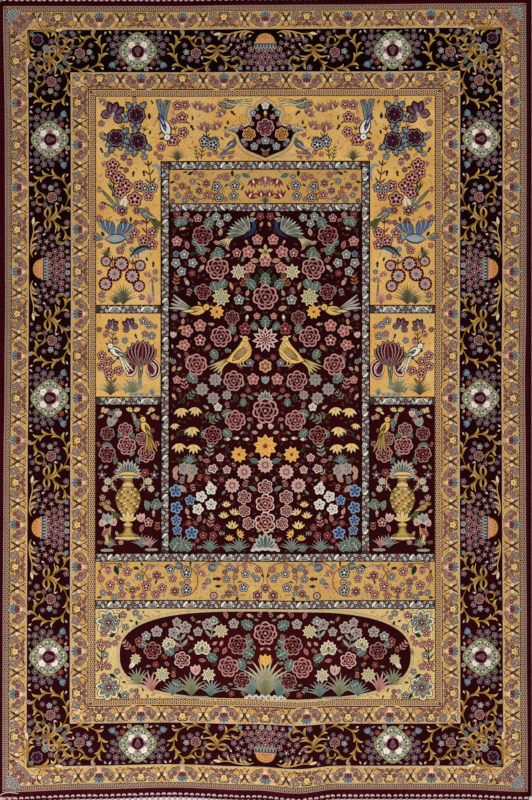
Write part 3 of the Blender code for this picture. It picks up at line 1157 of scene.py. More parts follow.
def border_corner(pen):
    """A dark rose in a ring of gold leaf at the border's corner."""
    for side in pen.sides():
        ring = curve((1, 52), (13, 41), (27, 27), (44, 12), steps=6)
        barbs = ((0.3, 1), (0.45, -1), (0.55, 1), (0.7, -1), (0.8, 1))
        barbed(side, ring, 1.8, "old gold", "gold", barbs, 18, 26)
        side.at(36, 19, -128, 16).fill(petal(1, 0.34, 0.8), "cream", "peach", 0.3j)
        plant(side, CORNER_POSY)
    rose(pen.at(0, 30, 0, 12), "wine", "mauve", "violet")
    rough_leaf(pen.at(0, 15, 180, 17), "slate", "stone", "stone")
    floret(pen.at(0, 45, 0, 4.5), "sage", "slate", "ink")


def main_border(pile):
    """The broad dark border: medallions and baskets by turns, with gold scrolls between."""
    pen = Pen(pile)
    pile.band(MAIN, LINE_INNER, main_tone)
    for k, (side, _) in enumerate(sides_of(pen, midway(MAIN, LINE_INNER))):
        if k % 2 == 0:
            medallions, baskets = (-MEDALLION_STEP[0], MEDALLION_STEP[0]), (0,)
        else:
            medallions = (-MEDALLION_STEP[1], 0, MEDALLION_STEP[1])
            baskets = (-BASKET_STEP, BASKET_STEP)
        for place_at in medallions:
            for unit in (side.at(place_at, 0), side.at(place_at, 0, 0, 1, True)):
                scroll(unit)
                plant(unit, MEDALLION_POSY)
            medallion(side.at(place_at, 0))
        for place_at in baskets:
            basket(side.at(place_at, 0))
    for corner in corner_pens(pen, midway(MAIN, LINE_INNER)):
        border_corner(corner)


def outer_guards(pile):
    """The outermost lace guard, the outer gold border and the pale line inside it."""
    pen = Pen(pile)
    lace_guard(pen, LACE_OUTER, GOLD_OUTER, "lace pink", "lace cream")
    gold_border(pen, GOLD_OUTER, LINE_OUTER, OUTER_SPACING, (True, False))
    for corner in corner_pens(pen, midway(GOLD_OUTER, LINE_OUTER)):
        corner_fan(corner)
    pile.band(LINE_OUTER, MAIN, "line", LINE_CELL)


def inner_guards(pile):
    """The pale line, the inner gold border, its thin line and the inner lace guard."""
    pen = Pen(pile)
    pile.band(LINE_INNER, GOLD_INNER, "line", LINE_CELL)
    gold_border(pen, GOLD_INNER, LINE_FIELD, INNER_SPACING, (False, True))
    for corner in corner_pens(pen, midway(GOLD_INNER, LINE_FIELD)):
        rough_leaf(corner.at(0, 12, 180, 17), "teal", "stone", "stone")
        for sign in (-1, 1):
            leaf(corner.at(0, -2, sign * 64, 15), "gold", "rust", "cream")
    pile.band(LINE_FIELD, LACE_INNER, "claret", LINE_CELL)
    lace_guard(pen, LACE_INNER, FIELD, "lace gold", "peach")


# ---- The field's parts ----
SIDE_INNER = 199.3  # from the middle line to the gardens and panels at the sides
NICHE_HALF = 182
# The lower and the upper edge of each.
TOP_GARDEN_SPAN = (450.7, FIELD[1])
SIDE_GARDEN_SPAN = (177.3, 450.7)
SMALL_PANEL_SPAN = (2.3, 161.1)
VASE_PANEL_SPAN = (-294.9, -12.9)
NICHE_SPAN = (-294.9, 354.7)
VINE_BAR_SPAN = (369.4, 433.6)
VINE_BAND_SPAN = (-385, -310)
BOTTOM_PANEL_SPAN = (-FIELD[1], -399.6)
# The middle lines of the strips that run across it.
NICHE_STRIPS = (442.2, 362)
SMALL_PANEL_STRIPS = (169.2, -5.3)
FIELD_STRIPS = (-302.5, -392.3)
NICHE_SIDE = 190.6  # and of those down the niche's sides


def side_span(side):
    """The left and right edge of the ground beside the niche, on a pen's side of the rug."""
    return sorted(side.seen([SIDE_INNER, FIELD[0]]).real)


# ---- Frame strips ----
STRIP_PITCH = 75.0
STRIP_HALF = 8.3
STRIP_CELL = 6  # millimetres between the points of a strip's ground
# Between two fans, in half of the gap: across, along, turn, size and dye.
STRIP_BITS = (
    (8.5, 3.6, -50, 8, "white"),
    (8.0, -3.8, 60, 7, "fog"),
    (14.5, -2.6, 30, 9, "white"),
    (14, 4.4, -80, 7, "mauve"),
    (20, 3.8, 20, 7, "blush"),
    (20.5, -3.4, -40, 7, "fog"),
    (4.5, 5.4, -80, 5, "stone"),
    (4.5, -5.4, 80, 5, "blush"),
    (26, 0.4, 10, 7, "stone"),
    (31, 4.0, 70, 7, "white"),
    (31.5, -3.6, -60, 7, "fog"),
)


def strip_tone(x, y):
    """Grey, mottled with dark brown."""
    return blend("pewter", "umber", 0.35 + 0.6 * grain(x, y, 7, 6))


def strip(pile, start, end, shift=0.0, flip=False):
    """A narrow frame strip of half-round fans with white flanks, and florets between them."""
    start, end = complex(*start), complex(*end)
    length = abs(end - start)
    pen = Pen(pile, start, (end - start) / length)
    corners = [start - pen.spin * 1j * STRIP_HALF, end + pen.spin * 1j * STRIP_HALF]
    left, right = sorted(corner.real for corner in corners)
    low, high = sorted(corner.imag for corner in corners)
    pile.panel(left, right, low, high, strip_tone, STRIP_CELL)
    count = max(1, round(length / STRIP_PITCH))
    pitch = length / count
    for k in range(-2, count + 2):
        at = (k + 0.5) * pitch + shift
        if 12 < at < length - 12:
            strip_fan(pen.at(at, 6.2, 180) if flip else pen.at(at, -6.2))
        at += pitch / 2
        for sign in (-1, 1):
            for x, y, turn, size, dye in STRIP_BITS:
                if 4 < at + sign * x < length - 4:
                    piece = pen.at(at, 0, 0, 1, sign < 0).at(x, y, turn, size)
                    piece.fill(petal(1, 0.55) - 0.5j, dye, "ink")
        if 6 < at < length - 6:
            floret(pen.at(at, 0, 0, 5.4), "mauve", "claret", "blush", 6)
    for edge in (-1, 1):
        line = np.linspace(0, length, max(2, round(length / 12))) + 1j * edge * (STRIP_HALF - 0.8)
        pen.stroke(line, 1.7, "ink")


def strip_fan(fan):
    """A half-round fan with white flanks, standing on a strip's edge."""
    fan.fill(arc(13.4, 0, 180, 10, 0.94), "ink")
    for sign in (-1, 1):
        flank = arc(11.6, 6, 74, 6, 0.96)
        fan.at(0, 0, 0, 1, sign > 0).stroke(flank, (1.8, 4.2, 3.4, 1.0), "white")
    fan.fill(arc(9, 0, 180, 10, 0.9), "stone", "pewter", 4j)
    for x, y, dye in ((-5, 3, "stone"), (5, 3, "stone"), (0, 6.4, "stone"), (0, 2, "rose")):
        fan.dot(x, y, 1.8, dye, "claret", count=6)


# ---- Gold gardens over and beside the niche ----
# Half of the top garden: across from the rug's middle, and along.
TOP_GARDEN = {
    "rust sprig": (
        (240, 478, 40, 18), (262, 500, 34, -30), (252, 520, 30, 60), (165, 478, 40, -12),
        (70, 452, 22, 30),
    ),
    "twig": ((122, 454, 36, 8), (112, 480, 42), (128, 451, 30, -10)),
    "green tuft": ((167, 451, 30),),
    "jagged leaf": ((122, 486, 18, 60), (88, 486, 18, -70)),
    "gold ground iris": ((289, 541, 22, 20),),
    "garden rose": ((245, 538, 16.5, -80), (284, 494, 16.5, 160), (242, 488, 16.5, -130)),
    "gold ground tulip": ((249, 566, 7, 10), (312, 501, 7, 90)),
    "gold ground lily": (
        (309, 562, 10, 40), (128, 554, 13, 20), (106, 549, 13, -15), (83, 541, 12, -40), (116, 514, 13),
        (92, 516, 12, -30),
    ),
    "gold ground floret": (
        (312, 522, 6), (167, 556, 8.5), (152, 557, 8, 30), (158, 533, 10), (156, 505, 9.5, 20),
        (177, 490, 11), (198, 477, 8), (200, 458, 5.5), (66, 462, 6),
    ),
    "gold ground bud": ((139, 514, 7, -30), (74, 512, 6, -50)),
    "gold ground violet floret": ((116, 487, 9.5), (99, 481, 10.5, 20)),
    "gold ground rose floret": ((80, 463, 5),),
}
# The garden beside the niche, down to its lower strip.
SIDE_GARDEN = {
    "twig": ((290, 384, 64, 5),),
    "rust sprig": ((216, 400, 52, -8), (226, 290, 52), (291, 226, 44), (252, 214, 50)),
    "moss spray": ((312, 179, 24, 10),),
    "long leaf": (
        (275, 355, 66, -42), (274, 356, 64, -22), (272, 356, 46, -8), (276, 354, 40, -60),
        (212, 180, 44, -4),
    ),
    "green tuft": ((271, 354, 26), (304, 268, 22, 14), (270, 179, 46), (286, 179, 26, 12)),
    "pink tuft": ((220, 179, 30),),
    "cream leaf": ((274, 354, 34, 14),),
    "gold ground lily": ((304, 443, 9, 20), (205, 330, 8), (224, 234, 8, 20), (211, 224, 9, -10)),
    "gold ground floret": (
        (290, 443, 11), (294, 427, 10, 20), (279, 418, 11.5), (266, 403, 12, 10), (276, 391, 11, 30),
        (248, 378, 13), (240, 403, 10, 20), (222, 384, 9), (316, 342, 6), (249, 314, 9), (257, 300, 7),
        (215, 314, 9.5), (232, 299, 10), (215, 292, 9.5), (276, 281, 7.5), (312, 196, 6), (235, 192, 5.5),
    ),
    "gold ground violet floret": ((229, 399, 8), (214, 400, 9), (283, 362, 7)),
    "gold ground tulip": ((258, 446, 9), (311, 363, 10, 20), (316, 394, 7)),
    "gold ground bud": ((251, 426, 6.5, 10), (231, 427, 6.5, -10), (298, 282, 6), (213, 254, 6.5)),
    "gold ground rose floret": ((272, 356, 9),),
    "gold ground daisy": (
        (303, 260, 10.5), (274, 255, 14.5), (287, 236, 14), (253, 232, 14), (304, 217, 13),
        (238, 252, 11), (240, 213, 11.5),
    ),
}
SMALL_ON_GOLD = (
    "gold ground floret", "gold ground rose floret", "gold ground bud", "long leaf", "moss leaf",
    "rust sprig", "gold ground violet floret", "twig", "grass blade", "peach leaf",
)


def serrated_leaf(pen):
    """A long dark leaf, curved, with white teeth."""
    line = curve((-22, 8), (-10, 10), (4, 4), (20, -10), steps=5)
    pen.stroke(line, (2, 11, 11, 1), "green")
    pen.stroke(line - 2j, (1, 5, 5, 0.5), "slate")
    for i in range(7):
        pen.at(-18 + 6 * i, 5 - 1.9 * i, 160, 6).fill(petal(1, 0.5), "white", "slate")


def top_garden(pile):
    """The gold field over the niche's frame, with flowers, birds and a hanging pendant."""
    pen = Pen(pile)
    pile.panel(-FIELD[0], FIELD[0], *TOP_GARDEN_SPAN, gold_tone)
    small = sown(5, (60, 316, 456, 566), SMALL_ON_GOLD, 900, (4, 7), [TOP_GARDEN], 0.2)
    both(pen, small, TOP_GARDEN)
    for side in pen.sides():
        bird(side.at(189, 514, -112, 66), "white", "blue", "fog", "navy", "rust", 0, 4)
        bird(side.at(64, 481, -38, 42, True), "slate", "white", "mauve", "ink", "rust", 0, 3)
        bird(side.at(66, 557, -18, 50), "sage", "stone", "straw", "green", "rust", 0, 3)
        branches = (
            ((88, 566), (54, 556), (34, 566)),
            ((92, 459), (60, 462), (34, 459), (14, 456)),
        )
        for line in branches:
            side.edged(curve(*line), (0.8, 2.4, 0.8), "straw", "brown", 1.2)
    pendant(pen)


def pendant(pen):
    """A lobed dark medallion that hangs from the field's upper edge."""
    half = (
        (0, 569), (6, 563), (15, 559), (20, 551), (30, 549), (33, 541), (29, 531), (31, 522),
        (42, 517), (60, 514), (77, 507), (60, 502), (54, 494), (51, 485), (45, 476), (36, 468),
        (24, 463), (12, 458), (0, 453),
    )
    right = curve(*half, steps=2)
    outline = np.concatenate((right, -right[-2:0:-1].conjugate()))
    pen.fill(outline, "ink", "wine", 508j, 1)
    closed = np.append(outline, outline[:2])
    for width, dye in ((7, "brown"), (5.6, "peach"), (3, "brown"), (1.8, "straw")):
        pen.stroke(closed, width, dye)
    for side in pen.sides():
        volute = arc(9.5, -150, 230, 16) * np.linspace(1, 0.25, 17) + complex(41, 532)
        side.edged(volute, (3, 2.6, 1.6), "gold", "brown", 1.4)
    both(pen, PENDANT)


PENDANT = {
    "sage leaf": ((12, 546, 12, -60), (60, 508, 12, -80), (9, 474, 10, 130)),
    "cream floret": ((0, 555, 7.5),),
    "blue floret": ((25, 541, 7), (56, 510, 5.5), (0, 489, 8), (21, 478, 7.5), (42, 489, 4.5)),
    "gold bud": ((0, 539, 7),),
    "pink floret": ((14, 534, 5), (26, 521, 5)),
    "amber rosette": ((31, 501, 13.5),),
    "mauve floret": ((45, 514, 5.5), (12, 487, 5), (38, 482, 5)),
    "violet rosette": ((0, 514, 18),),
    "maroon tulip": ((0, 466, 8, 180),),
}


def side_gardens(pile):
    """The gold fields beside the niche, with their flower beds, birds and daisies."""
    pen = Pen(pile)
    small = sown(8, (208, 316, 184, 446), SMALL_ON_GOLD, 900, (4, 7), [SIDE_GARDEN], 0.2)
    for side in pen.sides():
        pile.panel(*side_span(side), *SIDE_GARDEN_SPAN, gold_tone)
        plant(side, small)
        plant(side, SIDE_GARDEN)
        feather = curve((216, 440), (206, 442), (200, 428), (203, 412), steps=4)
        side.edged(feather, (1, 5, 3, 1), "sky", "violet", 1)
        flyer = side.at(287, 318, 6, 66, True)
        flying_bird(flyer, "sky", blend("blue", "sky", 0.45), "stone", "slate", "ink")
        bird(side.at(226, 348, 18, 46), "sage", "straw", "moss", "green", "rust", 10, 4)
        serrated_leaf(side.at(240, 276))


# ---- The two small gold panels at each side ----
SMALL_PANEL = {
    "twig": ((292, 96, 40, 6),),
    "sage spray": ((228, 108, 20),),
    "rust sprig": ((294, 20, 56, 2),),
    "moss spray": ((266, 8, 26, 20),),
    "long leaf": ((236, 16, 62, -6), (244, 14, 52, 14)),
    "green tuft": ((294, 6, 38),),
    "cream tuft": ((252, 6, 44),),
    "sage tuft": ((214, 6, 18, -10),),
    "gold ground iris": ((291, 138, 13, 10), (258, 138, 15, -20)),
    "gold ground tulip": ((304, 120, 9, 30), (284, 106, 8)),
    "gold ground violet floret": ((232, 147, 7), (221, 139, 6.5), (216, 118, 7)),
    "gold ground floret": (
        (229, 122, 6), (311, 81, 8.5), (298, 70, 8, 20), (311, 61, 8.5), (297, 48, 9), (279, 52, 8, 20),
    ),
}


def great_iris(pen):
    """A large iris of dark standards, with a pale-edged fall on one side and a curled one."""
    for x, turn, size in ((0.24, -158, 0.5), (-0.2, 150, 0.55), (-0.3, 124, 0.42)):
        falls = (1, 0.72, "ink"), (0.95, 0.62, "blush"), (0.84, 0.44, "maroon", "violet", 0.5j)
        pen.at(x, 0.02, turn, size).layers((1.3, 0.55), *falls)
    curl = curve((0.1, 0.02), (0.36, 0.08), (0.55, -0.1), (0.52, -0.36), (0.36, -0.46), (0.24, -0.34))
    pen.stroke(curl, (0.1, 0.2, 0.2, 0.2, 0.1), "ink")
    pen.stroke(curl, (0.06, 0.15, 0.16, 0.15, 0.05), "blush")
    pen.stroke(curl, (0.02, 0.07, 0.08, 0.07, 0.02), "maroon", "claret")
    for lean in (50, -42, 36, -29, 21, -15, 8, -4):
        standard = pen.at(0.0, -0.1, lean, 0.92 - 0.24 * (lean / 60) ** 2)
        rims = (1, 0.42, "ink"), (0.96, 0.35, "dusky pink"), (0.9, 0.27, "claret", "violet")
        standard.layers((1.1, 0.7), *rims)
        standard.stroke(curve((0, 0.2), (0.02, 0.5), (0, 0.78)), 0.04, "rose")
    pen.at(0, -0.16, 0, 0.4).fill(petal(1, 0.4), "mauve", "violet")


def small_panels(pile):
    """A gold panel with irises and a bird at each side, over the vase panels."""
    pen = Pen(pile)
    small = sown(11, (206, 316, 12, 154), SMALL_ON_GOLD, 200, (4, 6.5), [SMALL_PANEL], 0.8)
    for side in pen.sides():
        left, right = side_span(side)
        pile.panel(left, right, *SMALL_PANEL_SPAN, gold_tone)
        plant(side, small)
        plant(side, SMALL_PANEL)
        great_iris(side.at(236, 66, 0, 56, True))
        bird(side.at(284, 88, 8, 56), "white", "moss", "cream", "green", "rust", 24, 3, -14)
        pebble_bank(side.at(240, 7, 0, 20))
        pebble_bank(side.at(208, 5, 0, 9))
        for y in SMALL_PANEL_STRIPS:
            strip(pile, (left, y), (right, y), 6)


# ---- Vase panels ----
VASE_AT = 260.6
BOUQUET = {
    "rust spray": ((205, -252, 16),),
    "long gold leaf": ((304, -280, 40, 16), (298, -280, 38, -12)),
    "sage tuft": ((234, -284, 30),),
    "pink tuft": ((218, -284, 26, -10),),
    "cream tuft": ((296, -284, 22, 10),),
    "rough sage leaf": (
        (290, -36, 20, 40), (232, -52, 20, -60), (310, -90, 20, 100), (212, -98, 20, -110),
        (212, -212, 22, 20),
    ),
    "sage leaf": (
        (246, -40, 16, -30), (248, -100, 14, -140), (316, -136, 12, 30), (205, -136, 12, -30),
        (222, -214, 20, -20), (216, -206, 18, -50), (208, -210, 18, 50),
    ),
    "teal leaf": ((280, -76, 16, 30), (248, -76, 15, -40), (246, -112, 14, 150), (282, -112, 14, 200)),
    "pink leaf": ((280, -44, 12, -40), (232, -240, 14, -160), (310, -262, 20, 46)),
    "peach leaf": ((250, -34, 10, 160), (206, -42, 9, 20), (288, -216, 11, -40), (279, -262, 10, -30)),
    "cream leaf": ((226, -30, 9, 60),),
    "grey tulip": ((293, -46, 12, 20), (300, -230, 14, 10)),
    "pink tulip": ((279, -30, 8), (236, -228, 11, -10), (288, -236, 10, -30), (310, -238, 9, 40)),
    "dark rose": ((300, -67, 14.5), (300, -106, 17.5)),
    "wine rose": ((266, -60, 15), (234, -77, 13.5), (226, -106, 17.5, 20)),
    "rose": ((263, -90, 19),),
    "yellow lily": ((258, -22, 7, 20), (244, -22, 7, -20), (216, -22, 7)),
    "peach floret": ((212, -35, 5.5), (274, -274, 5)),
    "small star": ((310, -146, 9), (290, -168, 8, 20), (211, -146, 9), (231, -168, 8, 20)),
    "cream star": ((299, -158, 8), (304, -172, 7), (222, -158, 8), (217, -172, 7)),
    "pink star": ((286, -152, 6),),
    "pink floret": ((309, -189, 6), (299, -199, 5.5, 30), (222, -236, 9)),
}
# Half the vase's outline: across from its middle, and along.
VASE = (
    (0, -140), (18, -140), (17, -146), (9, -150), (9, -162), (12, -168), (22, -177), (26, -192),
    (21, -208), (12, -220), (6, -228), (5, -236), (9, -241), (6, -247), (10, -256), (22, -261),
    (27, -268), (0, -270),
)


def vase(pen):
    """A gold two-handled vase on a foot, in its panel's middle."""
    for side in pen.sides():
        handle = curve((11, -150), (22, -146), (30, -154), (29, -166), (22, -176))
        side.edged(handle, 1.7, "mustard", "umber", 1.0, "straw")
    heights = np.linspace(VASE[0][1], VASE[-1][1], 66)
    half = 0.93 * np.interp(-heights, [-y for x, y in VASE], [x for x, y in VASE])
    pen.stroke(1j * heights, 2 * half + 2.2, "umber")
    pen.stroke(1j * heights, 2 * half, blend("mustard", "olive", 0.3))
    pen.stroke(1j * heights, 1.1 * half, "mustard", blend("gold", "moss", 0.3))
    for row in range(9):
        y = -173 - 5.4 * row
        reach = float(np.interp(-y, -heights, half)) * 0.86
        count = max(2, round(reach / 3.2))
        for i in range(count + 1):
            x = reach * (2 * i / count - 1)
            dye = ("straw", "olive", "mustard")[(i + row) % 3]
            pen.dot(x, y, 2.3, dye, count=5, tall=0.8, turn=40 * i)
    for lean in (-66, 66, -34, 34, 0):
        lobe = pen.at(0, -234, lean, 23 - abs(lean) / 20)
        lobe.layers((1.2, 0.8), (1, 0.42, "umber"), (0.92, 0.32, "straw", "gold"))
    for lean in (-50, 50, -20, 20):
        pen.at(0, -160, lean + 180, 14).fill(petal(1, 0.4, 1.2), "straw", "mustard")
    crown(pen.at(0, -148, 0, 33), "teal", "stone", 13, 92, 0.22)
    pen.fill(arc(20, 0, 180, 10, 0.34) - 146j, "umber")
    pen.fill(arc(18.5, 0, 180, 10, 0.3) - 145.6j, "gold", "straw", -143j)
    for y, reach, width, dye in (
        (-150, 10, 2.6, "straw"), (-157, 9, 1.2, "olive"), (-164, 10, 2.4, "straw"),
        (-169, 14, 1.4, "olive"), (-240, 8, 2.6, "straw"), (-246, 8, 1.2, "olive"),
        (-262, 22, 1.2, "olive"), (-266, 24, 2.2, "straw"),
    ):
        pen.stroke(np.linspace(-reach, reach, 7) + 1j * y, width, dye)


def vase_panels(pile):
    """A dark panel at each side, with a vase of roses and two birds."""
    pen = Pen(pile)
    vase_spots = {"vase": ((VASE_AT, -190, 30), (VASE_AT, -250, 26))}
    small = sown(17, (205, 317, -284, -20), SMALL_ON_WINE, 900, (4.5, 8), [BOUQUET, vase_spots])
    for side in pen.sides():
        pile.panel(*side_span(side), *VASE_PANEL_SPAN, niche_tone)
        plant(side, small)
        plant(side, BOUQUET)
        vase(side.at(VASE_AT, 0))
        bird(side.at(228, -56, 60, 58), "gold", "moss", "mustard", "umber", "rust", 0, 4)
        bird(side.at(300, -208, 10, 40), "mustard", "straw", "moss", "umber", "rust", 20, 3)
        moth(side.at(306, -24, 20, 8.5), "straw", "mustard", "rust")
        pebble_bank(side.at(216, -288, 0, 12))
        pebble_bank(side.at(300, -289, 0, 12))


# ---- The niche ----
SMALL_ON_WINE = (
    "pink leaf", "rose floret", "sage leaf", "pink bud", "rust spray", "peach leaf", "sage spray",
    "pink spray", "moss leaf",
)
DIM = ("dim leaf", "dim spray", "dim spray", "dim sage spray")
NICHE = {
    "rust spray": ((171, 214, 20, 10), (46, 212, 18, 30), (34, 226, 14)),
    "pink spray": ((152, 16, 22, -10), (106, -246, 20, 10)),
    "moss spray": ((148, -2, 20, 40), (108, -46, 24, 60), (116, -30, 20, 110), (156, -60, 20, 120)),
    "white spray": ((108, -112, 24, 10),),
    "sage spray": ((114, -144, 18, 50),),
    "sage tuft": ((144, -126, 24), (160, -292, 38), (105, -292, 30), (50, -292, 32), (74, -292, 20, 20)),
    "rough sage leaf": (
        (168, 326, 20, 20), (150, 330, 18, -40), (113, 323, 24, 30), (128, 292, 22, 150),
        (140, 298, 18, 100), (102, 262, 22, 40), (84, 264, 24, -20), (100, 222, 22, 160),
        (76, 226, 22, -150), (0, 212, 26), (20, 208, 23, -38), (136, 204, 20, 80), (64, 140, 18, 170),
        (0, 134, 22), (16, 130, 16, -36), (102, 92, 20, 150), (152, 68, 22, 60), (146, 48, 24, 140),
        (40, 24, 16, -60), (82, -34, 20, 60), (80, -60, 20, 130), (42, -16, 16), (122, -64, 20, 120),
        (176, -290, 28, 30), (142, -290, 24, -40),
    ),
    "peach leaf": (
        (12, 260, 16, -80), (24, 168, 17, -72), (36, 194, 12, 20), (176, 50, 12, 20), (14, -66, 12, -80),
        (174, -146, 18, 20), (168, -156, 16, -20), (148, -160, 18, 40), (150, -178, 18, -50),
        (146, -222, 13, -20),
    ),
    "sage leaf": ((45, 258, 14, 20), (22, -2, 14, -60), (16, -176, 18, -60)),
    "gold leaf": (
        (62, 206, 16, -20), (128, 184, 12, 150), (166, 132, 14, 70), (170, 98, 12, 80),
        (16, -254, 12, 60),
    ),
    "teal leaf": ((12, -122, 18, -70),),
    "blush leaf": ((100, -178, 22, -20),),
    "pink leaf": ((128, -236, 14, 20),),
    "crown": ((0, -6, 22), (0, -285, 32)),
    "blue floret": (
        (93, 345, 8), (72, 343, 8, 20), (86, 332, 8, 40), (154, 273, 9), (138, 257, 9, 20),
        (170, 257, 9, 40), (159, 241, 9, 60), (50, 187, 10),
    ),
    "pink floret": ((128, 342, 8), (150, 348, 6), (54, 276, 8.5), (124, 110, 11)),
    "rose floret": ((168, 350, 7), (38, 132, 12), (118, -261, 7.5), (99, -261, 7.5, 20)),
    "dark rose": ((119, 309, 21), (118, 202, 16.5), (63, 153, 15), (100, -70, 19)),
    "peach floret": (
        (168, 298, 10), (32, 278, 12, 10), (15, 301, 10.5), (29, 248, 11), (0, 261, 12), (16, 156, 6.5),
        (124, 138, 12), (149, 128, 12, 20), (154, 101, 11, 20), (23, 36, 11.5), (168, 35, 8),
    ),
    "deep blue floret": ((170, 274, 6),),
    "pink bud": ((122, 246, 9, 40), (150, 222, 9, 150)),
    "wine rose": ((91, 247, 23.5), (0, 192, 26), (84, 117, 21.5), (60, 33, 21), (0, -24, 26.5)),
    "yellow star": ((0, 278, 15),),
    "cream star": ((51, 240, 15.5),),
    "straw star": ((84, 192, 18),),
    "yellow daisy": ((92, 164, 14), (0, -91, 23), (50, -107, 16, 10)),
    "pale bud": ((171, 171, 6.5), (156, 160, 6.5), (173, 154, 6.5)),
    "white bud": ((35, 152, 7, 10), (73, -78, 7, 90), (56, -76, 7, 90), (37, -78, 7, 90)),
    "lotus": ((0, 112, 25),),
    "pink tulip": ((175, 120, 8, 10), (10, -54, 7, -20)),
    "rose": ((131, 64, 22), (57, -42, 21)),
    "lilac floret": ((29, 67, 8),),
    "amber blossom": ((0, 61, 12.5),),
    "grey tulip": ((0, 34, 10),),
    "grey cluster": (
        (95, 35, 12), (120, 17, 12), (99, 0, 11.5), (73, 6, 9), (154, -134, 12), (140, -137, 12, 30),
    ),
    "yellow drop": (
        (160, -26, 14, 172), (133, -24, 13, 190), (139, -62, 14, 176), (172, -53, 9, 170),
        (164, -93, 14, 175), (136, -95, 14, 185),
    ),
    "cream floret": (
        (90, -17, 8), (103, -173, 11), (122, -187, 11, 20), (103, -202, 11), (128, -211, 11, 20),
    ),
    "white floret": ((86, -113, 8), (99, -134, 9, 20), (73, -136, 8)),
    "ring daisy": ((0, -127, 15.5), (40, -140, 14.5), (63, -166, 14.5)),
    "blue bell": (
        (170, -176, 12.5), (143, -194, 10), (169, -208, 12, 20), (169, -232, 10.5), (167, -251, 9.5),
        (140, -256, 12.5),
    ),
    "wine peony": (
        (40, -188, 14.5), (0, -169, 16), (0, -200, 20), (40, -214, 12.5), (32, -238, 13), (0, -236, 22),
    ),
    "yellow lily": ((74, -202, 9), (59, -217, 10, 20), (79, -223, 10), (63, -242, 12)),
    "amber bud": ((48, -258, 10, 60), (68, -266, 9)),
}
# Where the birds stand, kept free of strewn flowers.
BIRD_SPOTS = {
    "bird": (
        (48, 326, 26), (74, 300, 10), (129, 167, 18), (158, 184, 12), (42, 88, 20), (72, 66, 14),
        (96, 54, 10), (40, 104, 12),
    ),
}


def niche(pile):
    """The dark niche: roses, lilies and daisies mirrored about its middle line, with birds."""
    pen = Pen(pile)
    pile.panel(-NICHE_HALF, NICHE_HALF, *NICHE_SPAN, niche_tone)
    small = sown(29, (3, 177, -288, 350), SMALL_ON_WINE, 3000, (4.5, 8), [NICHE, BIRD_SPOTS], 0.8)
    taken = [NICHE, BIRD_SPOTS, small]
    dim = sown(30, (2, 178, -290, 352), DIM, 2600, (2.6, 4.2), taken, 0.2)
    both(pen, dim, small, NICHE)
    for side in pen.sides():
        fan_bird(side.at(48, 326, 0, 1, True))
        bird(side.at(129, 166, 0, 66, True), "gold", "straw", "stone", "umber", "pink", 8, 4, 52)
        pheasant(side.at(44, 84, 0, 1, True))
    for i, up in enumerate((1, 3, 2, 4, 3, 4, 2, 3, 1)):
        pen.dot(-24 + 6 * i, -290 + up, 4, "white", "pewter", tall=0.7)


def fan_bird(pen):
    """A small bird with one fanned wing and a long plumed tail, facing right."""
    for i in range(6):
        plume = curve((-2, -12), (-18, -20 - i), (-44 + 4 * i, -30 - 2.4 * i), steps=4)
        pen.edged(plume, (2, 2.4, 0.6), "gold", "ink", 0.8, "cream")
    for i in range(10):
        feather = pen.at(19 - i * 1.2, -8 - i * 0.7, 10 + 10 * i, 31 + 0.8 * i)
        dye = ("straw", "sage", "cream", "sky")[i % 4]
        feather.layers((1.4, 0.6), (1, 0.2, "ink"), (0.95, 0.13, dye, "teal"))
    body = curve((24, 13), (27, 0), (20, -13), (4, -21), steps=4)
    pen.stroke(body, (3, 10, 10, 2), "ink")
    pen.stroke(body, (1.6, 7, 7, 1), "blue", "navy")
    pen.dot(23, 13, 4.6, "sky", "slate", count=9)
    pen.at(26, 14, -80, 5).fill(petal(1, 0.5), "straw")


def pheasant(pen):
    """A large gold bird standing upright, facing right, its long tail drawn out behind it."""
    for i in range(9):
        end = (-68 + 3.4 * i, -25 - 2.0 * i + (3 if i % 2 else 0))
        plume = curve((-14, -6), (-36, -13 - 1.2 * i), end, steps=4)
        pen.edged(plume, (3, 3.2, 0.6), "gold", "umber", 1.0, "straw")
    half = (
        (-30, -13), (-18, 2), (-5, 17), (1, 27), (9, 28), (13, 20), (18, 9), (15, -4), (4, -14),
        (-12, -18),
    )
    outline = curve(*half, half[0], steps=2)[:-1]
    middle = 2j
    pen.fill(middle + (outline - middle) * 1.07, "umber")
    pen.fill(outline, "gold", "straw", middle)
    for i in range(8):
        for j in range(4):
            spot = complex(-20 + 4.4 * i, -14 + 4.2 * i + 0.4 * j) + complex(4.4, -4.2) * (j - 1)
            if (spot.real - 2) ** 2 / 380 + (spot.imag - 4) ** 2 / 420 < 0.9:
                pen.at(spot.real, spot.imag, 40, 2.4).stroke(arc(0.8, 180, 360, 4), 0.4, "brown")
    wing = pen.at(10, 13, 132, 40)
    wing.layers((0.8, 0.7), (1, 0.36, "umber"), (0.95, 0.29, "mustard", "straw", 0.3j), detail=6)
    for i in range(3):
        wing.stroke(curve((0.08 - 0.07 * i, 0.15), (0.07 - 0.06 * i, 0.8)), 0.03, "brown")
    pen.dot(6, 29, 6.4, "umber", count=10)
    pen.dot(6, 29, 5.4, "straw", "gold", count=10)
    pen.at(10, 29, -100, 6).fill(petal(1, 0.5, 0.7), "salmon")
    pen.at(2, 32, 70, 8).fill(petal(1, 0.34, 0.7), "straw")
    pen.dot(7, 30, 1.3, "ink", count=6)
    for x in (-4, 2):
        pen.stroke(curve((x, -15), (x + 1, -21), (x + 6, -23)), 1.4, "straw")


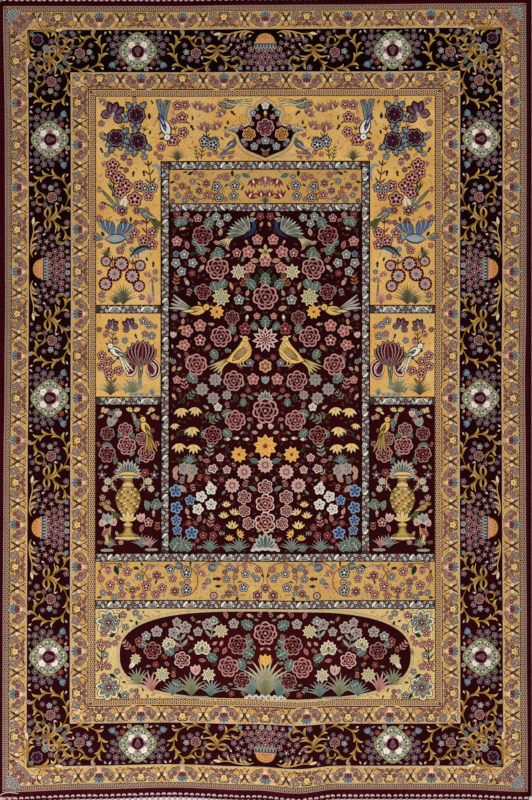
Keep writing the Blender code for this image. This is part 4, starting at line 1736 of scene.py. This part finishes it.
# ---- Vine bands ----
VINE_BAR = {
    "rust sprig": ((100, 372, 30, 10), (136, 372, 34, -20)),
    "green tuft": ((0, 370, 20),),
    "teal leaf": ((46, 426, 18, 110),),
    "moss leaf": ((148, 424, 12, 60),),
    "gold ground lily": ((0, 414, 15, 180),),
    "maroon lily": ((22, 410, 14, 160), (28, 386, 14, 30), (8, 388, 12)),
    "gold ground violet floret": (
        (58, 404, 8.6), (92, 402, 8.6, 20), (60, 384, 8.1), (88, 381, 8.1), (138, 412, 5.9),
        (166, 385, 5.4),
    ),
    "gold ground floret": (
        (74, 419, 6.5), (110, 386, 7.5), (122, 424, 6), (146, 387, 6.5), (168, 420, 6),
    ),
    "gold ground rose floret": ((112, 408, 6.8), (126, 394, 6.3), (158, 403, 6.3)),
}


def vine_bar(pile):
    """The short gold bar over the niche, with lilies at its middle, between two strips."""
    pen = Pen(pile)
    pile.panel(-NICHE_HALF, NICHE_HALF, *VINE_BAR_SPAN, border_gold_tone)
    for side in pen.sides():
        vine = curve((40, 404), (70, 428), (96, 414), (104, 392), (124, 378), (150, 396), (176, 414))
        side.stroke(vine, (0.8, 1.6, 1.6, 0.8), "rust")
        for x, y, turn in ((70, 392, 0), (98, 400, 120), (128, 404, 60), (154, 396, 200)):
            side.at(x, y, turn).stroke(arc(12, -40, 200, 8), (1.2, 1.2, 0.4), "rust")
    small = sown(31, (20, 178, 374, 430), SMALL_ON_GOLD, 700, (4, 6.5), [VINE_BAR], 0.2)
    both(pen, VINE_BAR, small)


# Half of the lower vine band, across from its middle, and along from the band's own middle.
VINE_BAND = {
    "jagged leaf": ((92, 24, 18, -80), (172, 30, 16, 100)),
    "moss leaf": ((96, -10, 12, 90), (192, 24, 14, 60), (286, 30, 20, 160)),
    "gold ground rose floret": (
        (0, -14, 7.3), (15, -27, 8.2), (70, -24, 6.9), (172, -20, 7.7), (206, 10, 7.7), (252, -18, 6.9),
        (274, -2, 6.9),
    ),
    "gold ground violet floret": (
        (41, -12, 8.2), (38, 14, 7.3), (16, 4, 6.5), (68, 26, 6.9), (74, 4, 6.9), (150, 16, 9.9),
        (150, -18, 9.5), (180, 22, 7.7), (240, 8, 6.9), (308, -22, 6),
    ),
    "gold ground floret": (
        (13, 22, 6.5), (176, 4, 7), (196, -14, 8), (208, -26, 7.5), (226, -10, 8.5), (232, -28, 7),
        (262, 18, 8), (272, -26, 7), (294, -8, 8), (312, 4, 6.5),
    ),
    "gold ground bud": ((92, 4, 9, 90),),
    "gold ground daisy": ((98, -28, 7.5), (148, -2, 6)),
    "gold ground lily": ((122, 14, 10, 30), (220, 26, 9)),
    "gold ground tulip": ((116, -12, 8), (298, 18, 9)),
}
BAND_MIDDLE = sum(VINE_BAND_SPAN) / 2


def vine_band(pile):
    """The full-width gold band under the niche, with thin scrolls and florets."""
    pen = Pen(pile).at(0, BAND_MIDDLE)
    pile.panel(-FIELD[0], FIELD[0], *VINE_BAND_SPAN, border_gold_tone)
    vines = (
        # middle across, middle along, radius, from and to angle
        (32, 6, 29, -60, 250),
        (100, 2, 34, 20, 150),
        (158, 0, 30, 60, 300),
        (206, 4, 26, -100, 130),
        (248, -4, 26, 70, 290),
        (290, 8, 26, -60, 200),
    )
    for side in pen.sides():
        for x, y, radius, low, high in vines:
            side.at(x, y).stroke(arc(radius, low, high, 22), (0.6, 2.0, 2.0, 0.6), "rust")
    small = sown(37, (4, 316, -34, 34), SMALL_ON_GOLD, 1600, (3.8, 6.5), [VINE_BAND], 0.1)
    both(pen, VINE_BAND, small)


# ---- The bottom panel ----
PANEL_MIDDLE = -488.5
PANEL_HALF = (279.0, 86.0)
# The generic flower bed that fills the panel: across from its middle, and along from it.
BED = {
    "sage spray": ((104, 30, 36, 10),),
    "white spray": ((158, 10, 40, -12),),
    "pink spray": ((256, 10, 20, -40),),
    "cream blades": ((0, -78, 84),),
    "sage blades": ((24, -78, 56, -18),),
    "sage tuft": ((104, -78, 38, 6), (176, -78, 34)),
    "cream tuft": ((140, -78, 50, -4), (236, -58, 40, -30)),
    "pink tuft": ((214, -70, 44, -14),),
    "rough sage leaf": (
        (22, -2, 28, -60), (24, 52, 24, -60), (24, 30, 22, -120), (50, -6, 24, 160), (92, -10, 22, -60),
        (174, 0, 22, -50), (178, -52, 24, 120), (228, 16, 22, -50),
    ),
    "cream leaf": ((258, -26, 20, 40),),
    "amber tulip": ((0, -10, 15),),
    "wine rose": ((0, 42, 24),),
    "dark rose": ((52, 20, 20), (44, -48, 17), (214, 8, 18)),
    "rose": ((70, -22, 21),),
    "straw star": ((84, 46, 14), (196, -38, 15), (246, -8, 11)),
    "pale palmette": ((120, 14, 16), (184, 22, 13, -20)),
    "pale floret": (
        (60, 60, 10), (110, 58, 11), (128, 44, 9), (152, 52, 12), (174, 42, 11, 20), (168, 62, 9),
        (206, 44, 11),
    ),
    "blue floret": ((98, 66, 8), (226, 36, 9)),
    "cream star": ((108, -38, 14),),
    "pink tulip": ((132, -30, 13, -10),),
    "wine peony": ((158, -10, 17),),
    "rose floret": ((240, 26, 8),),
}
# At the panel's gold ends: across from the rug's middle, and along from the panel's.
ENDS = {
    "twig": ((310, -30, 60),),
    "moss leaf": ((296, 34, 14, 60), (296, -36, 14, 120), (278, 70, 12, 20), (278, -72, 12, 160)),
    "gold ground floret": (
        (306, 42, 7), (270, 76, 6.5), (312, 22, 7.5), (298, 20, 6.5), (312, -20, 7.5), (298, -22, 6.5),
        (306, -42, 7), (244, -80, 6),
    ),
    "gold ground violet floret": (
        (284, 62, 7), (246, 80, 6), (304, 0, 6.5), (284, -62, 7), (266, -78, 7.5),
    ),
}
# Where the leaf rosettes lie, kept free of strewn flowers.
ROSETTES = {"rosette": ((297, -62, 24), (297, 62, 24))}
SMALL_AT_ENDS = (
    "gold ground floret", "gold ground violet floret", "gold ground rose floret", "moss leaf",
    "twig", "peach leaf", "gold ground bud", "rust sprig",
)


def rounded_panel(grow):
    """The outline of the dark panel, grown by so many millimetres."""
    angle = np.radians(np.arange(0, 360, 5))
    wide, tall = PANEL_HALF[0] + grow, PANEL_HALF[1] + grow
    across = wide * np.sign(np.cos(angle)) * np.abs(np.cos(angle)) ** 0.62
    along = tall * np.sign(np.sin(angle)) * np.abs(np.sin(angle)) ** 0.8
    return across + 1j * np.clip(along, -84.4, 88.8)


def leaf_rosette(pen):
    """A round rosette of curled grey-green leaves with pale edges."""
    for turned in pen.around(8):
        outer = (1.08, 0.86, "brown"), (1, 0.72, "cream"), (0.82, 0.5, "sage", "moss")
        turned.at(0, 7, 12, 18).layers((1.3, 0.6), *outer)
    for turned in pen.around(8, 22):
        inner = (1.08, 0.8, "olive"), (0.96, 0.6, "stone", "moss")
        turned.at(0, 5, -12, 11).layers((1.2, 0.7), *inner)
    floret(pen.at(0, 0, 0, 7.5), "mauve", "violet", "cream", 6, "brown")


def bottom_panel(pile):
    """The long dark panel with rounded ends in a gold ground, filled with a flower bed."""
    pen = Pen(pile).at(0, PANEL_MIDDLE)
    pile.panel(-FIELD[0], FIELD[0], *BOTTOM_PANEL_SPAN, pale_gold_tone)
    outline = rounded_panel(0)
    pen.fill(outline, "wine", "claret", 0j, 1)
    closed = np.append(outline, outline[:2])
    for width, dye in ((6, "brown"), (4.8, "straw"), (2.4, "rust"), (1.2, "straw")):
        pen.stroke(closed, width, dye)
    inside = sown(
        43, (4, 268, -74, 80), SMALL_ON_WINE, 1500, (4.5, 8), [BED], 0.5,
        lambda x, y: (x / 272) ** 2.6 + (y / 84) ** 2 < 0.9,
    )
    both(pen, inside, BED)
    for side in pen.sides():
        for _, x, y, *_ in rows_of(ROSETTES):
            leaf_rosette(side.at(x, y))
    outside = sown(
        47, (200, 319, -82, 86), SMALL_AT_ENDS, 2500, (3.4, 6), [ENDS, ROSETTES], 0.1,
        lambda x, y: (x / 290) ** 2.6 + abs(y / 94) ** 2.2 > 1,
    )
    both(pen, ENDS, outside)
    for i in range(13):
        pen.dot(-36 + 6 * i, -80 + 3 * (i % 2), 4, "white", "pewter", tall=0.7)
        for sign in (-1, 1):
            pen.dot(sign * (110 + 5 * i), -81, 3, "stone", "pewter", tall=0.7)


def frames(pile):
    """The frame strips round the niche and across the field."""
    for y, flip in zip(NICHE_STRIPS, (False, True)):
        strip(pile, (-NICHE_HALF, y), (NICHE_HALF, y), 0, flip)
    foot, head = NICHE_SPAN[0], TOP_GARDEN_SPAN[0]
    strip(pile, (-NICHE_SIDE, head), (-NICHE_SIDE, foot), 12, True)
    strip(pile, (NICHE_SIDE, foot), (NICHE_SIDE, head), 12, True)
    for y in FIELD_STRIPS:
        strip(pile, (-FIELD[0], y), (FIELD[0], y))


# ---- Finishes ----
class Value:
    """A socket's value, so that shader maths reads as plain expressions."""

    def __init__(self, finish, socket):
        self.finish = finish
        self.socket = socket

    def maths(self, operation, first, second):
        """The value of one operation on two values or numbers."""
        return self.finish.node("ShaderNodeMath", {"operation": operation}, {0: first, 1: second})

    def __add__(self, other):
        return self.maths("ADD", self, other)

    def __sub__(self, other):
        return self.maths("SUBTRACT", self, other)

    def __mul__(self, other):
        return self.maths("MULTIPLY", self, other)

    __radd__ = __add__
    __rmul__ = __mul__


class Finish:
    """A material under construction, on a Principled shader."""

    def __init__(self, name, **constants):
        self.material = bpy.data.materials.new(name)
        self.material.use_nodes = True
        self.nodes = self.material.node_tree.nodes
        self.links = self.material.node_tree.links
        self.shader = self.nodes["Principled BSDF"]
        for socket, value in constants.items():
            self.shader.inputs[socket.replace("_", " ")].default_value = value

    def set(self, socket, value):
        """Links a value to a socket, or sets it there."""
        if isinstance(value, Value):
            self.links.new(value.socket, socket)
        else:
            socket.default_value = value

    def node(self, kind, settings=None, sockets=None, output=0):
        """A node of a type, with its settings and the values or links of its sockets."""
        made = self.nodes.new(kind)
        for name, value in (settings or {}).items():
            setattr(made, name, value)
        for name, value in (sockets or {}).items():
            self.set(made.inputs[name], value)
        return Value(self, made.outputs[output])

    def feed(self, name, value):
        """Gives the shader one of its values."""
        self.set(self.shader.inputs[name], value)

    def place(self, stretch=(1, 1, 1)):
        """The rug's own coordinates in metres, stretched along each axis."""
        spot = self.node("ShaderNodeTexCoord", output="Object")
        return self.node("ShaderNodeMapping", None, {"Vector": spot, "Scale": stretch})

    def cloud(self, scale, detail=2.0, stretch=(1, 1, 1)):
        """Noise from 0 to 1, with so many lumps in a metre."""
        sockets = {"Vector": self.place(stretch), "Scale": scale, "Detail": detail}
        return self.node("ShaderNodeTexNoise", None, {**sockets, "Roughness": 0.55}, "Fac")

    def mixed(self, share, first, second):
        """A colour between two dyes, by a share that may vary."""
        sockets = {0: share, 6: (*linear(DYES[first]), 1), 7: (*linear(DYES[second]), 1)}
        return self.node("ShaderNodeMix", {"data_type": "RGBA"}, sockets, 2)

    def scaled(self, colour, share):
        """A colour made lighter or darker by a share that may vary."""
        settings = {"operation": "SCALE"}
        return self.node("ShaderNodeVectorMath", settings, {0: colour, "Scale": share})

    def bump(self, height, strength, distance):
        """Relief from a height of 0 to 1, so many metres deep."""
        sockets = {"Height": height, "Strength": strength, "Distance": distance}
        self.feed("Normal", self.node("ShaderNodeBump", None, sockets, "Normal"))


def silk_pile():
    """Cut silk pile in each shape's own dye, mottled by its knots and by uneven dyeing."""
    finish = Finish("dyed_silk_pile", Specular_IOR_Level=0.03)
    dye = finish.node("ShaderNodeAttribute", {"attribute_name": "dye"}, output="Color")
    knots = finish.cloud(420, 2.0)
    flecks = finish.cloud(900, 1.0, (1, 0.6, 1))
    streaks = finish.cloud(16, 2.0, (0.3, 6, 1))
    patches = finish.cloud(9, 2.0)
    shade = 1 + (knots - 0.5) * 1.1 + (flecks - 0.5) * 0.5
    shade = shade * (1 + (streaks - 0.5) * 0.22 + (patches - 0.5) * 0.28)
    finish.feed("Base Color", finish.scaled(dye, shade))
    finish.feed("Roughness", 0.62 + knots * 0.2)
    finish.bump(knots * 0.7 + flecks * 0.3, 0.35, 0.0006)
    return finish.material


def wound_silk():
    """Plum silk wound over the side warps."""
    finish = Finish("wound_plum_silk", Specular_IOR_Level=0.06)
    turns = finish.cloud(60, 2.0, (1, 22, 1))
    wear = finish.cloud(30, 3.0)
    finish.feed("Base Color", finish.mixed(turns * 0.7 + wear * 0.3, "plum", "claret"))
    finish.feed("Roughness", 0.45 + wear * 0.25)
    finish.bump(turns, 0.4, 0.0004)
    return finish.material


def warp_silk():
    """Undyed silk warp ends, pinkish where the knots took up a little of the plum."""
    finish = Finish("undyed_warp_silk", Specular_IOR_Level=0.4, Sheen_Weight=0.2)
    strands = finish.cloud(900, 2.0, (1, 0.08, 1))
    stain = finish.cloud(45, 2.0)
    near = finish.node("ShaderNodeAttribute", {"attribute_name": "near_knot"}, output="Fac")
    tinted = finish.mixed(near * (0.5 + stain * 0.6), "warp", "warp pink")
    finish.feed("Base Color", finish.scaled(tinted, 0.72 + strands * 0.5))
    finish.feed("Roughness", 0.5 + strands * 0.2)
    finish.bump(strands, 0.3, 0.0003)
    return finish.material


def woven_back():
    """The rug's back: rows of knots over the foundation."""
    finish = Finish("woven_back", Specular_IOR_Level=0.2)
    rows = finish.cloud(700, 1.0, (0.5, 1.6, 1))
    stain = finish.cloud(24, 3.0)
    finish.feed("Base Color", finish.mixed(rows * stain * 1.4, "maroon", "mustard"))
    finish.feed("Roughness", 0.8 + rows * 0.1)
    finish.bump(rows, 0.5, 0.0004)
    return finish.material


def floor_paint():
    """Pale paint, a little uneven."""
    finish = Finish("pale_floor", Specular_IOR_Level=0.2)
    tone = finish.cloud(3, 3.0)
    pale = (0.74, 0.73, 0.71)
    finish.feed("Base Color", finish.scaled(pale, 0.97 + tone * 0.06))
    finish.feed("Roughness", 0.7 + tone * 0.1)
    return finish.material


def linear(rgb):
    """An sRGB colour of 0 to 255 as linear light of 0 to 1."""
    share = np.asarray(rgb, float) / 255
    return np.where(share > 0.04045, ((share + 0.055) / 1.055) ** 2.4, share / 12.92)


# ---- Meshes ----
SLIVER = 1e-4  # twice the area, in square millimetres, that a face needs to be kept


def meshed(name, points, faces, finishes, slots=None):
    """A mesh object from arrays of points and of triangles or quads."""
    mesh = bpy.data.meshes.new(name)
    corners = faces.shape[1]
    mesh.vertices.add(len(points))
    mesh.vertices.foreach_set("co", np.ascontiguousarray(points, np.float32).ravel())
    mesh.loops.add(faces.size)
    mesh.loops.foreach_set("vertex_index", faces.ravel().astype(np.int32))
    mesh.polygons.add(len(faces))
    mesh.polygons.foreach_set("loop_start", np.arange(0, faces.size, corners, dtype=np.int32))
    for finish in finishes:
        mesh.materials.append(finish)
    if slots is not None:
        mesh.polygons.foreach_set("material_index", slots.astype(np.int32))
    mesh.update(calc_edges=True)
    made = bpy.data.objects.new(name, mesh)
    bpy.context.scene.collection.objects.link(made)
    return made


def dye_points(piece, colours):
    """Keeps each point's dye on the mesh, for its finish to read."""
    layer = piece.data.color_attributes.new("dye", "FLOAT_COLOR", "POINT")
    full = np.concatenate((colours, np.ones((len(colours), 1))), 1)
    layer.data.foreach_set("color", full.astype(np.float32).ravel())


def flat_map(piece):
    """Maps the piece as seen from above, so that its top shapes are the ones that print."""
    mesh = piece.data
    points = np.zeros(len(mesh.vertices) * 3, np.float32)
    mesh.vertices.foreach_get("co", points)
    plan = points.reshape(-1, 3)[:, :2]
    low, high = plan.min(0), plan.max(0)
    corners = np.zeros(len(mesh.loops), np.int32)
    mesh.loops.foreach_get("vertex_index", corners)
    layer = mesh.uv_layers.new(name="OFBake")
    layer.data.foreach_set("uv", ((plan - low) / (high - low))[corners].ravel())


def patterned(pile, finish):
    """Makes a drawn pile into a mesh on the rug's swells, its lowest shapes first."""
    plan = np.array(pile.points)
    x, y = plan.real * MM, plan.imag * MM
    faces = np.array(pile.faces)
    a, b, c = plan[faces].T
    turn = ((b - a).conjugate() * (c - a)).imag
    faces = np.where(turn[:, None] < 0, faces[:, [0, 2, 1]], faces)
    faces = faces[np.abs(turn) > SLIVER]
    heights = np.array(pile.heights)
    faces = faces[np.argsort(heights[faces[:, 0]], kind="stable")]
    across, along = place(x, y)
    up = SHEET_TOP + heights + swell(x, y)
    piece = meshed(pile.name, np.column_stack((across, along, up)), faces, [finish])
    dye_points(piece, linear(np.array([dyed(d) for d in pile.dyes])))
    flat_map(piece)
    return piece


# ---- The woven sheet, its cords and its fringes ----
SHEET_CELL = 0.011


def woven_sheet(pile_finish, back_finish):
    """The rug's closed body: plain plum pile above and at its edges, knots on its back."""
    columns = round(2 * EDGE / SHEET_CELL)
    rows = round(2 * HALF_LENGTH / SHEET_CELL)
    x, y = np.meshgrid(
        np.linspace(-EDGE, EDGE, columns + 1),
        np.linspace(-HALF_LENGTH, HALF_LENGTH, rows + 1),
    )
    x, y = x.ravel(), y.ravel()
    across, along = place(x, y, 0)
    rise = swell(x, y)
    top = np.column_stack((across, along, SHEET_TOP + rise))
    back = np.column_stack((across, along, rise))
    i, j = np.meshgrid(np.arange(columns), np.arange(rows))
    corner = (j * (columns + 1) + i).ravel()
    up = np.column_stack((corner, corner + 1, corner + columns + 2, corner + columns + 1))
    down = up[:, ::-1] + len(top)
    grid = np.arange(len(top)).reshape(rows + 1, columns + 1)
    rim = np.concatenate((grid[0], grid[1:, -1], grid[-1, -2::-1], grid[-2:0:-1, 0]))
    after = np.roll(rim, -1)
    walls = np.column_stack((rim + len(top), after + len(top), after, rim))
    faces = np.concatenate((up, walls, down))
    slots = np.concatenate((np.zeros(len(up) + len(walls)), np.ones(len(down))))
    points = np.concatenate((top, back))
    sheet = meshed("woven_sheet", points, faces, [pile_finish, back_finish], slots)
    tones = [blend("plum", "claret", grain(px, py, 0.05, 4)) for px, py in points[:, :2]]
    dye_points(sheet, linear(np.array(tones)))
    return sheet


def tubes(name, lines, radii, finish, sides, near=None):
    """Many tubes of as many points each, joined as one mesh.

    Each point can say how near a knot it is, for the warp ends' finish to read.
    """
    count, length = lines.shape[:2]
    along = np.gradient(lines, axis=1)
    along /= np.linalg.norm(along, axis=2, keepdims=True)
    side = np.cross(along, (0, 0, 1))
    side /= np.maximum(np.linalg.norm(side, axis=2, keepdims=True), 1e-9)
    up = np.cross(side, along)
    angle = np.arange(sides) * 2 * np.pi / sides
    ring = np.cos(angle)[:, None] * side[:, :, None] + np.sin(angle)[:, None] * up[:, :, None]
    points = lines[:, :, None] + ring * radii[:, :, None, None]
    index = np.arange(count * length * sides).reshape(count, length, sides)
    here, there = index[:, :-1], index[:, 1:]
    quads = np.stack((here, np.roll(here, -1, 2), np.roll(there, -1, 2), there), -1).reshape(-1, 4)
    first, last = index[:, 0], index[:, -1]
    caps = []
    for k in range(1, sides - 1):
        caps.append(np.stack((first[:, 0], first[:, k + 1], first[:, k]), -1))
        caps.append(np.stack((last[:, 0], last[:, k], last[:, k + 1]), -1))
    halves = np.concatenate((quads[:, [0, 1, 2]], quads[:, [0, 2, 3]], *caps))
    piece = meshed(name, points.reshape(-1, 3), halves[:, ::-1], [finish])
    piece.data.shade_smooth()
    if near is not None:
        layer = piece.data.attributes.new("near_knot", "FLOAT", "POINT")
        layer.data.foreach_set("value", np.repeat(near.ravel(), sides).astype(np.float32))
    return piece


CORD_TURN = 0.0022  # from one turn of the winding to the next
CORD_RIDGE = 0.00018
CORD_STEPS = 3  # in each turn


def side_cord(side, finish):
    """A cord down the rug's side, ridged by the silk wound round it."""
    sign = {"left": -1, "right": 1}[side]
    steps = round(2 * HALF_LENGTH / CORD_TURN) * CORD_STEPS
    y = np.linspace(-HALF_LENGTH, HALF_LENGTH, steps)
    x = np.full(steps, sign * EDGE)
    across, along = place(x, y, 0)
    middle = across + sign * (GAP + CORD_WIDTH / 2)
    rise = swell(x, y) + CORD_HEIGHT / 2
    line = np.stack((middle, along, rise), -1)[None]
    ridge = CORD_RIDGE * np.cos(2 * np.pi * (y - y[0]) / CORD_TURN)
    radii = (CORD_WIDTH / 2 - CORD_RIDGE + ridge)[None]
    return tubes(f"overcast_cord_{side}", line, radii, finish, 10)


END_SIGN = {"top": 1, "bottom": -1}
THREADS = 9  # in each bundle of the fringe
THREAD_STEPS = 9
THREAD_RADIUS = 0.0005
THREAD_START = 0.0086  # from the pile's end to where the threads come free of their knots
THREAD_WAVE = 0.0012
THREAD_LIFT = 0.0018  # the most that a thread lies off the floor
THREAD_SEED = {"top": 21, "bottom": 34}
LOOSE_THREADS = 6  # in each bundle that lies turned back
LOOSE_STEP = (0.0006, 0.0008)  # across and along, from one of them to the next
LOOSE_PINK = 0.8  # how much of the plum they took up
# Two bundles at the bottom end's left corner that lie turned back over it, in metres.
LOOSE_ENDS = (
    ((-0.4990, -0.7630), (-0.5060, -0.7560), (-0.4960, -0.7500), (-0.4850, -0.7484), (-0.4700, -0.7508)),
    ((-0.5060, -0.7620), (-0.4940, -0.7594), (-0.4840, -0.7586), (-0.4740, -0.7594)),
)


def bundle_roots(sign):
    """Where each bundle of warp ends leaves the pile: across the straight rug, then in plan."""
    pitch = 2 * HALF_BODY / STRANDS
    for k in range(STRANDS):
        middle = (k + 0.5) * pitch - HALF_BODY
        yield middle, *place(np.array([middle]), np.array([sign * HALF_LENGTH]))


def fringe_threads(end, finish):
    """The combed warp ends, a loose bundle of threads from each knot."""
    sign = END_SIGN[end]
    chance = random.Random(THREAD_SEED[end])
    share = np.linspace(0, 1, THREAD_STEPS)
    lines, radii = [], []
    for middle, root_x, root_y in bundle_roots(sign):
        sway = STRAND_SWAY * math.sin(SWAY_TURN * middle + sign)
        for _ in range(THREADS):
            offset = chance.uniform(-1, 1)
            length = STRAND_LENGTH + chance.uniform(-1, 1) * STRAND_SPREAD
            wave = THREAD_WAVE * np.sin(share * chance.uniform(3, 8) + chance.uniform(0, 6)) * share
            x = root_x + offset * (0.0016 + 0.0022 * share) + sway * share + wave
            y = root_y + sign * (THREAD_START + (length - THREAD_START) * share)
            lie = THREAD_RADIUS + chance.uniform(0, THREAD_LIFT) * (1 - 0.6 * share)
            lines.append(np.column_stack((x, y, lie)))
            radii.append(THREAD_RADIUS * (1 - 0.45 * share))
    if end == "bottom":
        for bundle in LOOSE_ENDS:
            line = curve(*bundle, steps=2)
            line = line[np.linspace(0, len(line) - 1, THREAD_STEPS).round().astype(int)]
            for i in range(LOOSE_THREADS):
                offset = i - (LOOSE_THREADS - 1) / 2
                x = line.real + LOOSE_STEP[0] * offset
                y = line.imag + LOOSE_STEP[1] * offset * (1 - share)
                lie = np.where(y > -HALF_LENGTH - 0.003, SHEET_TOP + 0.0012, WEB_HEIGHT + 0.001)
                lines.append(np.column_stack((x, y, lie)))
                radii.append(np.full(THREAD_STEPS, THREAD_RADIUS))
    near = np.tile(np.maximum(0, 1 - share * 2.2), (len(lines), 1))
    near[STRANDS * THREADS:] = LOOSE_PINK
    return tubes(f"fringe_threads_{end}", np.array(lines), np.array(radii), finish, 4, near)


WEB_DEPTH = 0.0108  # the plain woven end that the knots sit on
WEB_HEIGHT = 0.0011
WEB_POINTS = 93  # across the rug
KNOT_STEPS = 9
KNOT_MIDDLE = 0.0046  # from the pile's end to the row of knots
KNOT_REACH = 0.0027
KNOT_BULGE = 0.0017
KNOT_ENDS = 0.0007
KNOT_DEPTH = 0.0024


def end_web(end, finish):
    """The plain plum web woven past the pile, as a thin closed strip."""
    sign = END_SIGN[end]
    x = np.linspace(-EDGE, EDGE, WEB_POINTS)
    across, along = place(x, np.full(WEB_POINTS, sign * HALF_LENGTH), 0)
    near, far = along + sign * GAP, along + sign * WEB_DEPTH
    rings = [(near, 0.0), (far, 0.0), (far, WEB_HEIGHT), (near, WEB_HEIGHT)]
    points = np.concatenate([np.column_stack((across, y, np.full(WEB_POINTS, z))) for y, z in rings])
    index = np.arange(4 * WEB_POINTS).reshape(4, WEB_POINTS)
    after = np.roll(index, -1, 0)
    quads = np.stack((index[:, :-1], index[:, 1:], after[:, 1:], after[:, :-1]), -1).reshape(-1, 4)
    caps = np.array([index[:, 0], index[::-1, -1]])
    faces = np.concatenate((quads, caps))
    if sign > 0:
        faces = faces[:, ::-1]
    web = meshed(f"end_web_{end}", points, faces, [finish])
    dye_points(web, np.tile(linear(DYES["plum"]), (len(points), 1)))
    return web


def fringe_knots(end, finish):
    """The row of knots on the web, each a thick loop of a bundle of warp ends."""
    sign = END_SIGN[end]
    chance = random.Random(THREAD_SEED[end] + 1)
    turn = np.linspace(-0.3, np.pi + 0.3, KNOT_STEPS)
    bulge = np.sin(np.linspace(0.1, np.pi - 0.1, KNOT_STEPS))
    lines, radii = [], []
    for _, root_x, root_y in bundle_roots(sign):
        reach = KNOT_REACH * chance.uniform(0.85, 1.15)
        radius = (KNOT_ENDS + KNOT_BULGE * bulge) * chance.uniform(0.85, 1.1)
        lean = chance.uniform(-0.5, 0.5)
        x = root_x + reach * (np.cos(turn) + lean * np.sin(turn))
        away = KNOT_MIDDLE + chance.uniform(-0.0004, 0.0004)
        y = root_y + sign * (away - KNOT_DEPTH * np.sin(turn))
        lines.append(np.column_stack((x, y, WEB_HEIGHT + radius * 0.9)))
        radii.append(radius)
    near = np.ones((STRANDS, KNOT_STEPS))
    return tubes(f"fringe_knots_{end}", np.array(lines), np.array(radii), finish, 8, near)


# ---- Putting it together ----
FLOOR_HALF = 3.0
FLOOR_DROP = 0.0001  # so that nothing of the rug lies level with it


def floor(finish):
    """The plain square floor under the rug."""
    plan = ((-1, -1), (1, -1), (1, 1), (-1, 1))
    points = np.array([(x * FLOOR_HALF, y * FLOOR_HALF, 0) for x, y in plan])
    made = meshed("floor", points, np.array([[0, 1, 2, 3]]), [finish])
    made.location.z = -FLOOR_DROP


def softbox(name, spot, size, power):
    """A round soft light that shines at the rug's middle."""
    lamp = bpy.data.lights.new(name, "AREA")
    lamp.shape = "DISK"
    lamp.size = size
    lamp.energy = power
    made = bpy.data.objects.new(name, lamp)
    made.location = spot
    made.rotation_euler = (Vector((0, 0, 0)) - Vector(spot)).to_track_quat("-Z", "Y").to_euler()
    bpy.context.scene.collection.objects.link(made)


def studio():
    """Plain soft light from all round, with a little more towards the rug's bottom end."""
    world = bpy.data.worlds.new("studio_air")
    world.use_nodes = True
    sky = world.node_tree.nodes["Background"].inputs
    sky["Color"].default_value = (1, 0.99, 0.97, 1)
    sky["Strength"].default_value = 0.22
    bpy.context.scene.world = world
    softbox("key_light", (-0.9, -2.1, 2.4), 1.6, 66)
    softbox("fill_light", (1.9, 1.2, 2.4), 2.4, 26)


VIEW_LENGTH = 1.520  # how much of the rug's length the picture shows
VIEW_MIDDLE = (0.0013, -0.0034)
LENS = 85
SENSOR = 36


def camera():
    """Looks straight down at the rug from over its middle, framed as in the picture."""
    data = bpy.data.cameras.new("camera")
    data.lens = LENS
    data.sensor_width = SENSOR
    made = bpy.data.objects.new("camera", data)
    made.location = (*VIEW_MIDDLE, SHEET_TOP + VIEW_LENGTH * LENS / SENSOR)
    bpy.context.scene.collection.objects.link(made)
    bpy.context.scene.camera = made


def main():
    """Sets up the view, makes the rug's pieces and says what each of them stands for."""
    camera()
    studio()
    floor(floor_paint())
    bpy.context.scene.view_settings.view_transform = "Standard"
    pile_finish = silk_pile()
    sheet = woven_sheet(pile_finish, woven_back())
    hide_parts("rug_body")
    pattern = []
    for name, draw in PATTERN:
        pile = Pile(name)
        draw(pile)
        pattern.append(patterned(pile, pile_finish))
    trim = []
    for side in ("left", "right"):
        cord = side_cord(side, wound_silk())
        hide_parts(f"side_cord_{side}")
        trim.append(cord)
    for end in ("top", "bottom"):
        knots = fringe_knots(end, warp_silk())
        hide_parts(f"fringe_{end}")
        threads = fringe_threads(end, warp_silk())
        web = end_web(end, pile_finish)
        trim += [knots, threads, web]
    for piece in (sheet, *pattern, *trim):
        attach(piece, "root")


PATTERN = (
    ("outer_guards", outer_guards),
    ("main_border", main_border),
    ("inner_guards", inner_guards),
    ("top_garden", top_garden),
    ("side_gardens", side_gardens),
    ("small_panels", small_panels),
    ("vase_panels", vase_panels),
    ("niche", niche),
    ("vine_bar", vine_bar),
    ("vine_band", vine_band),
    ("bottom_panel", bottom_panel),
    ("frames", frames),
)

main()
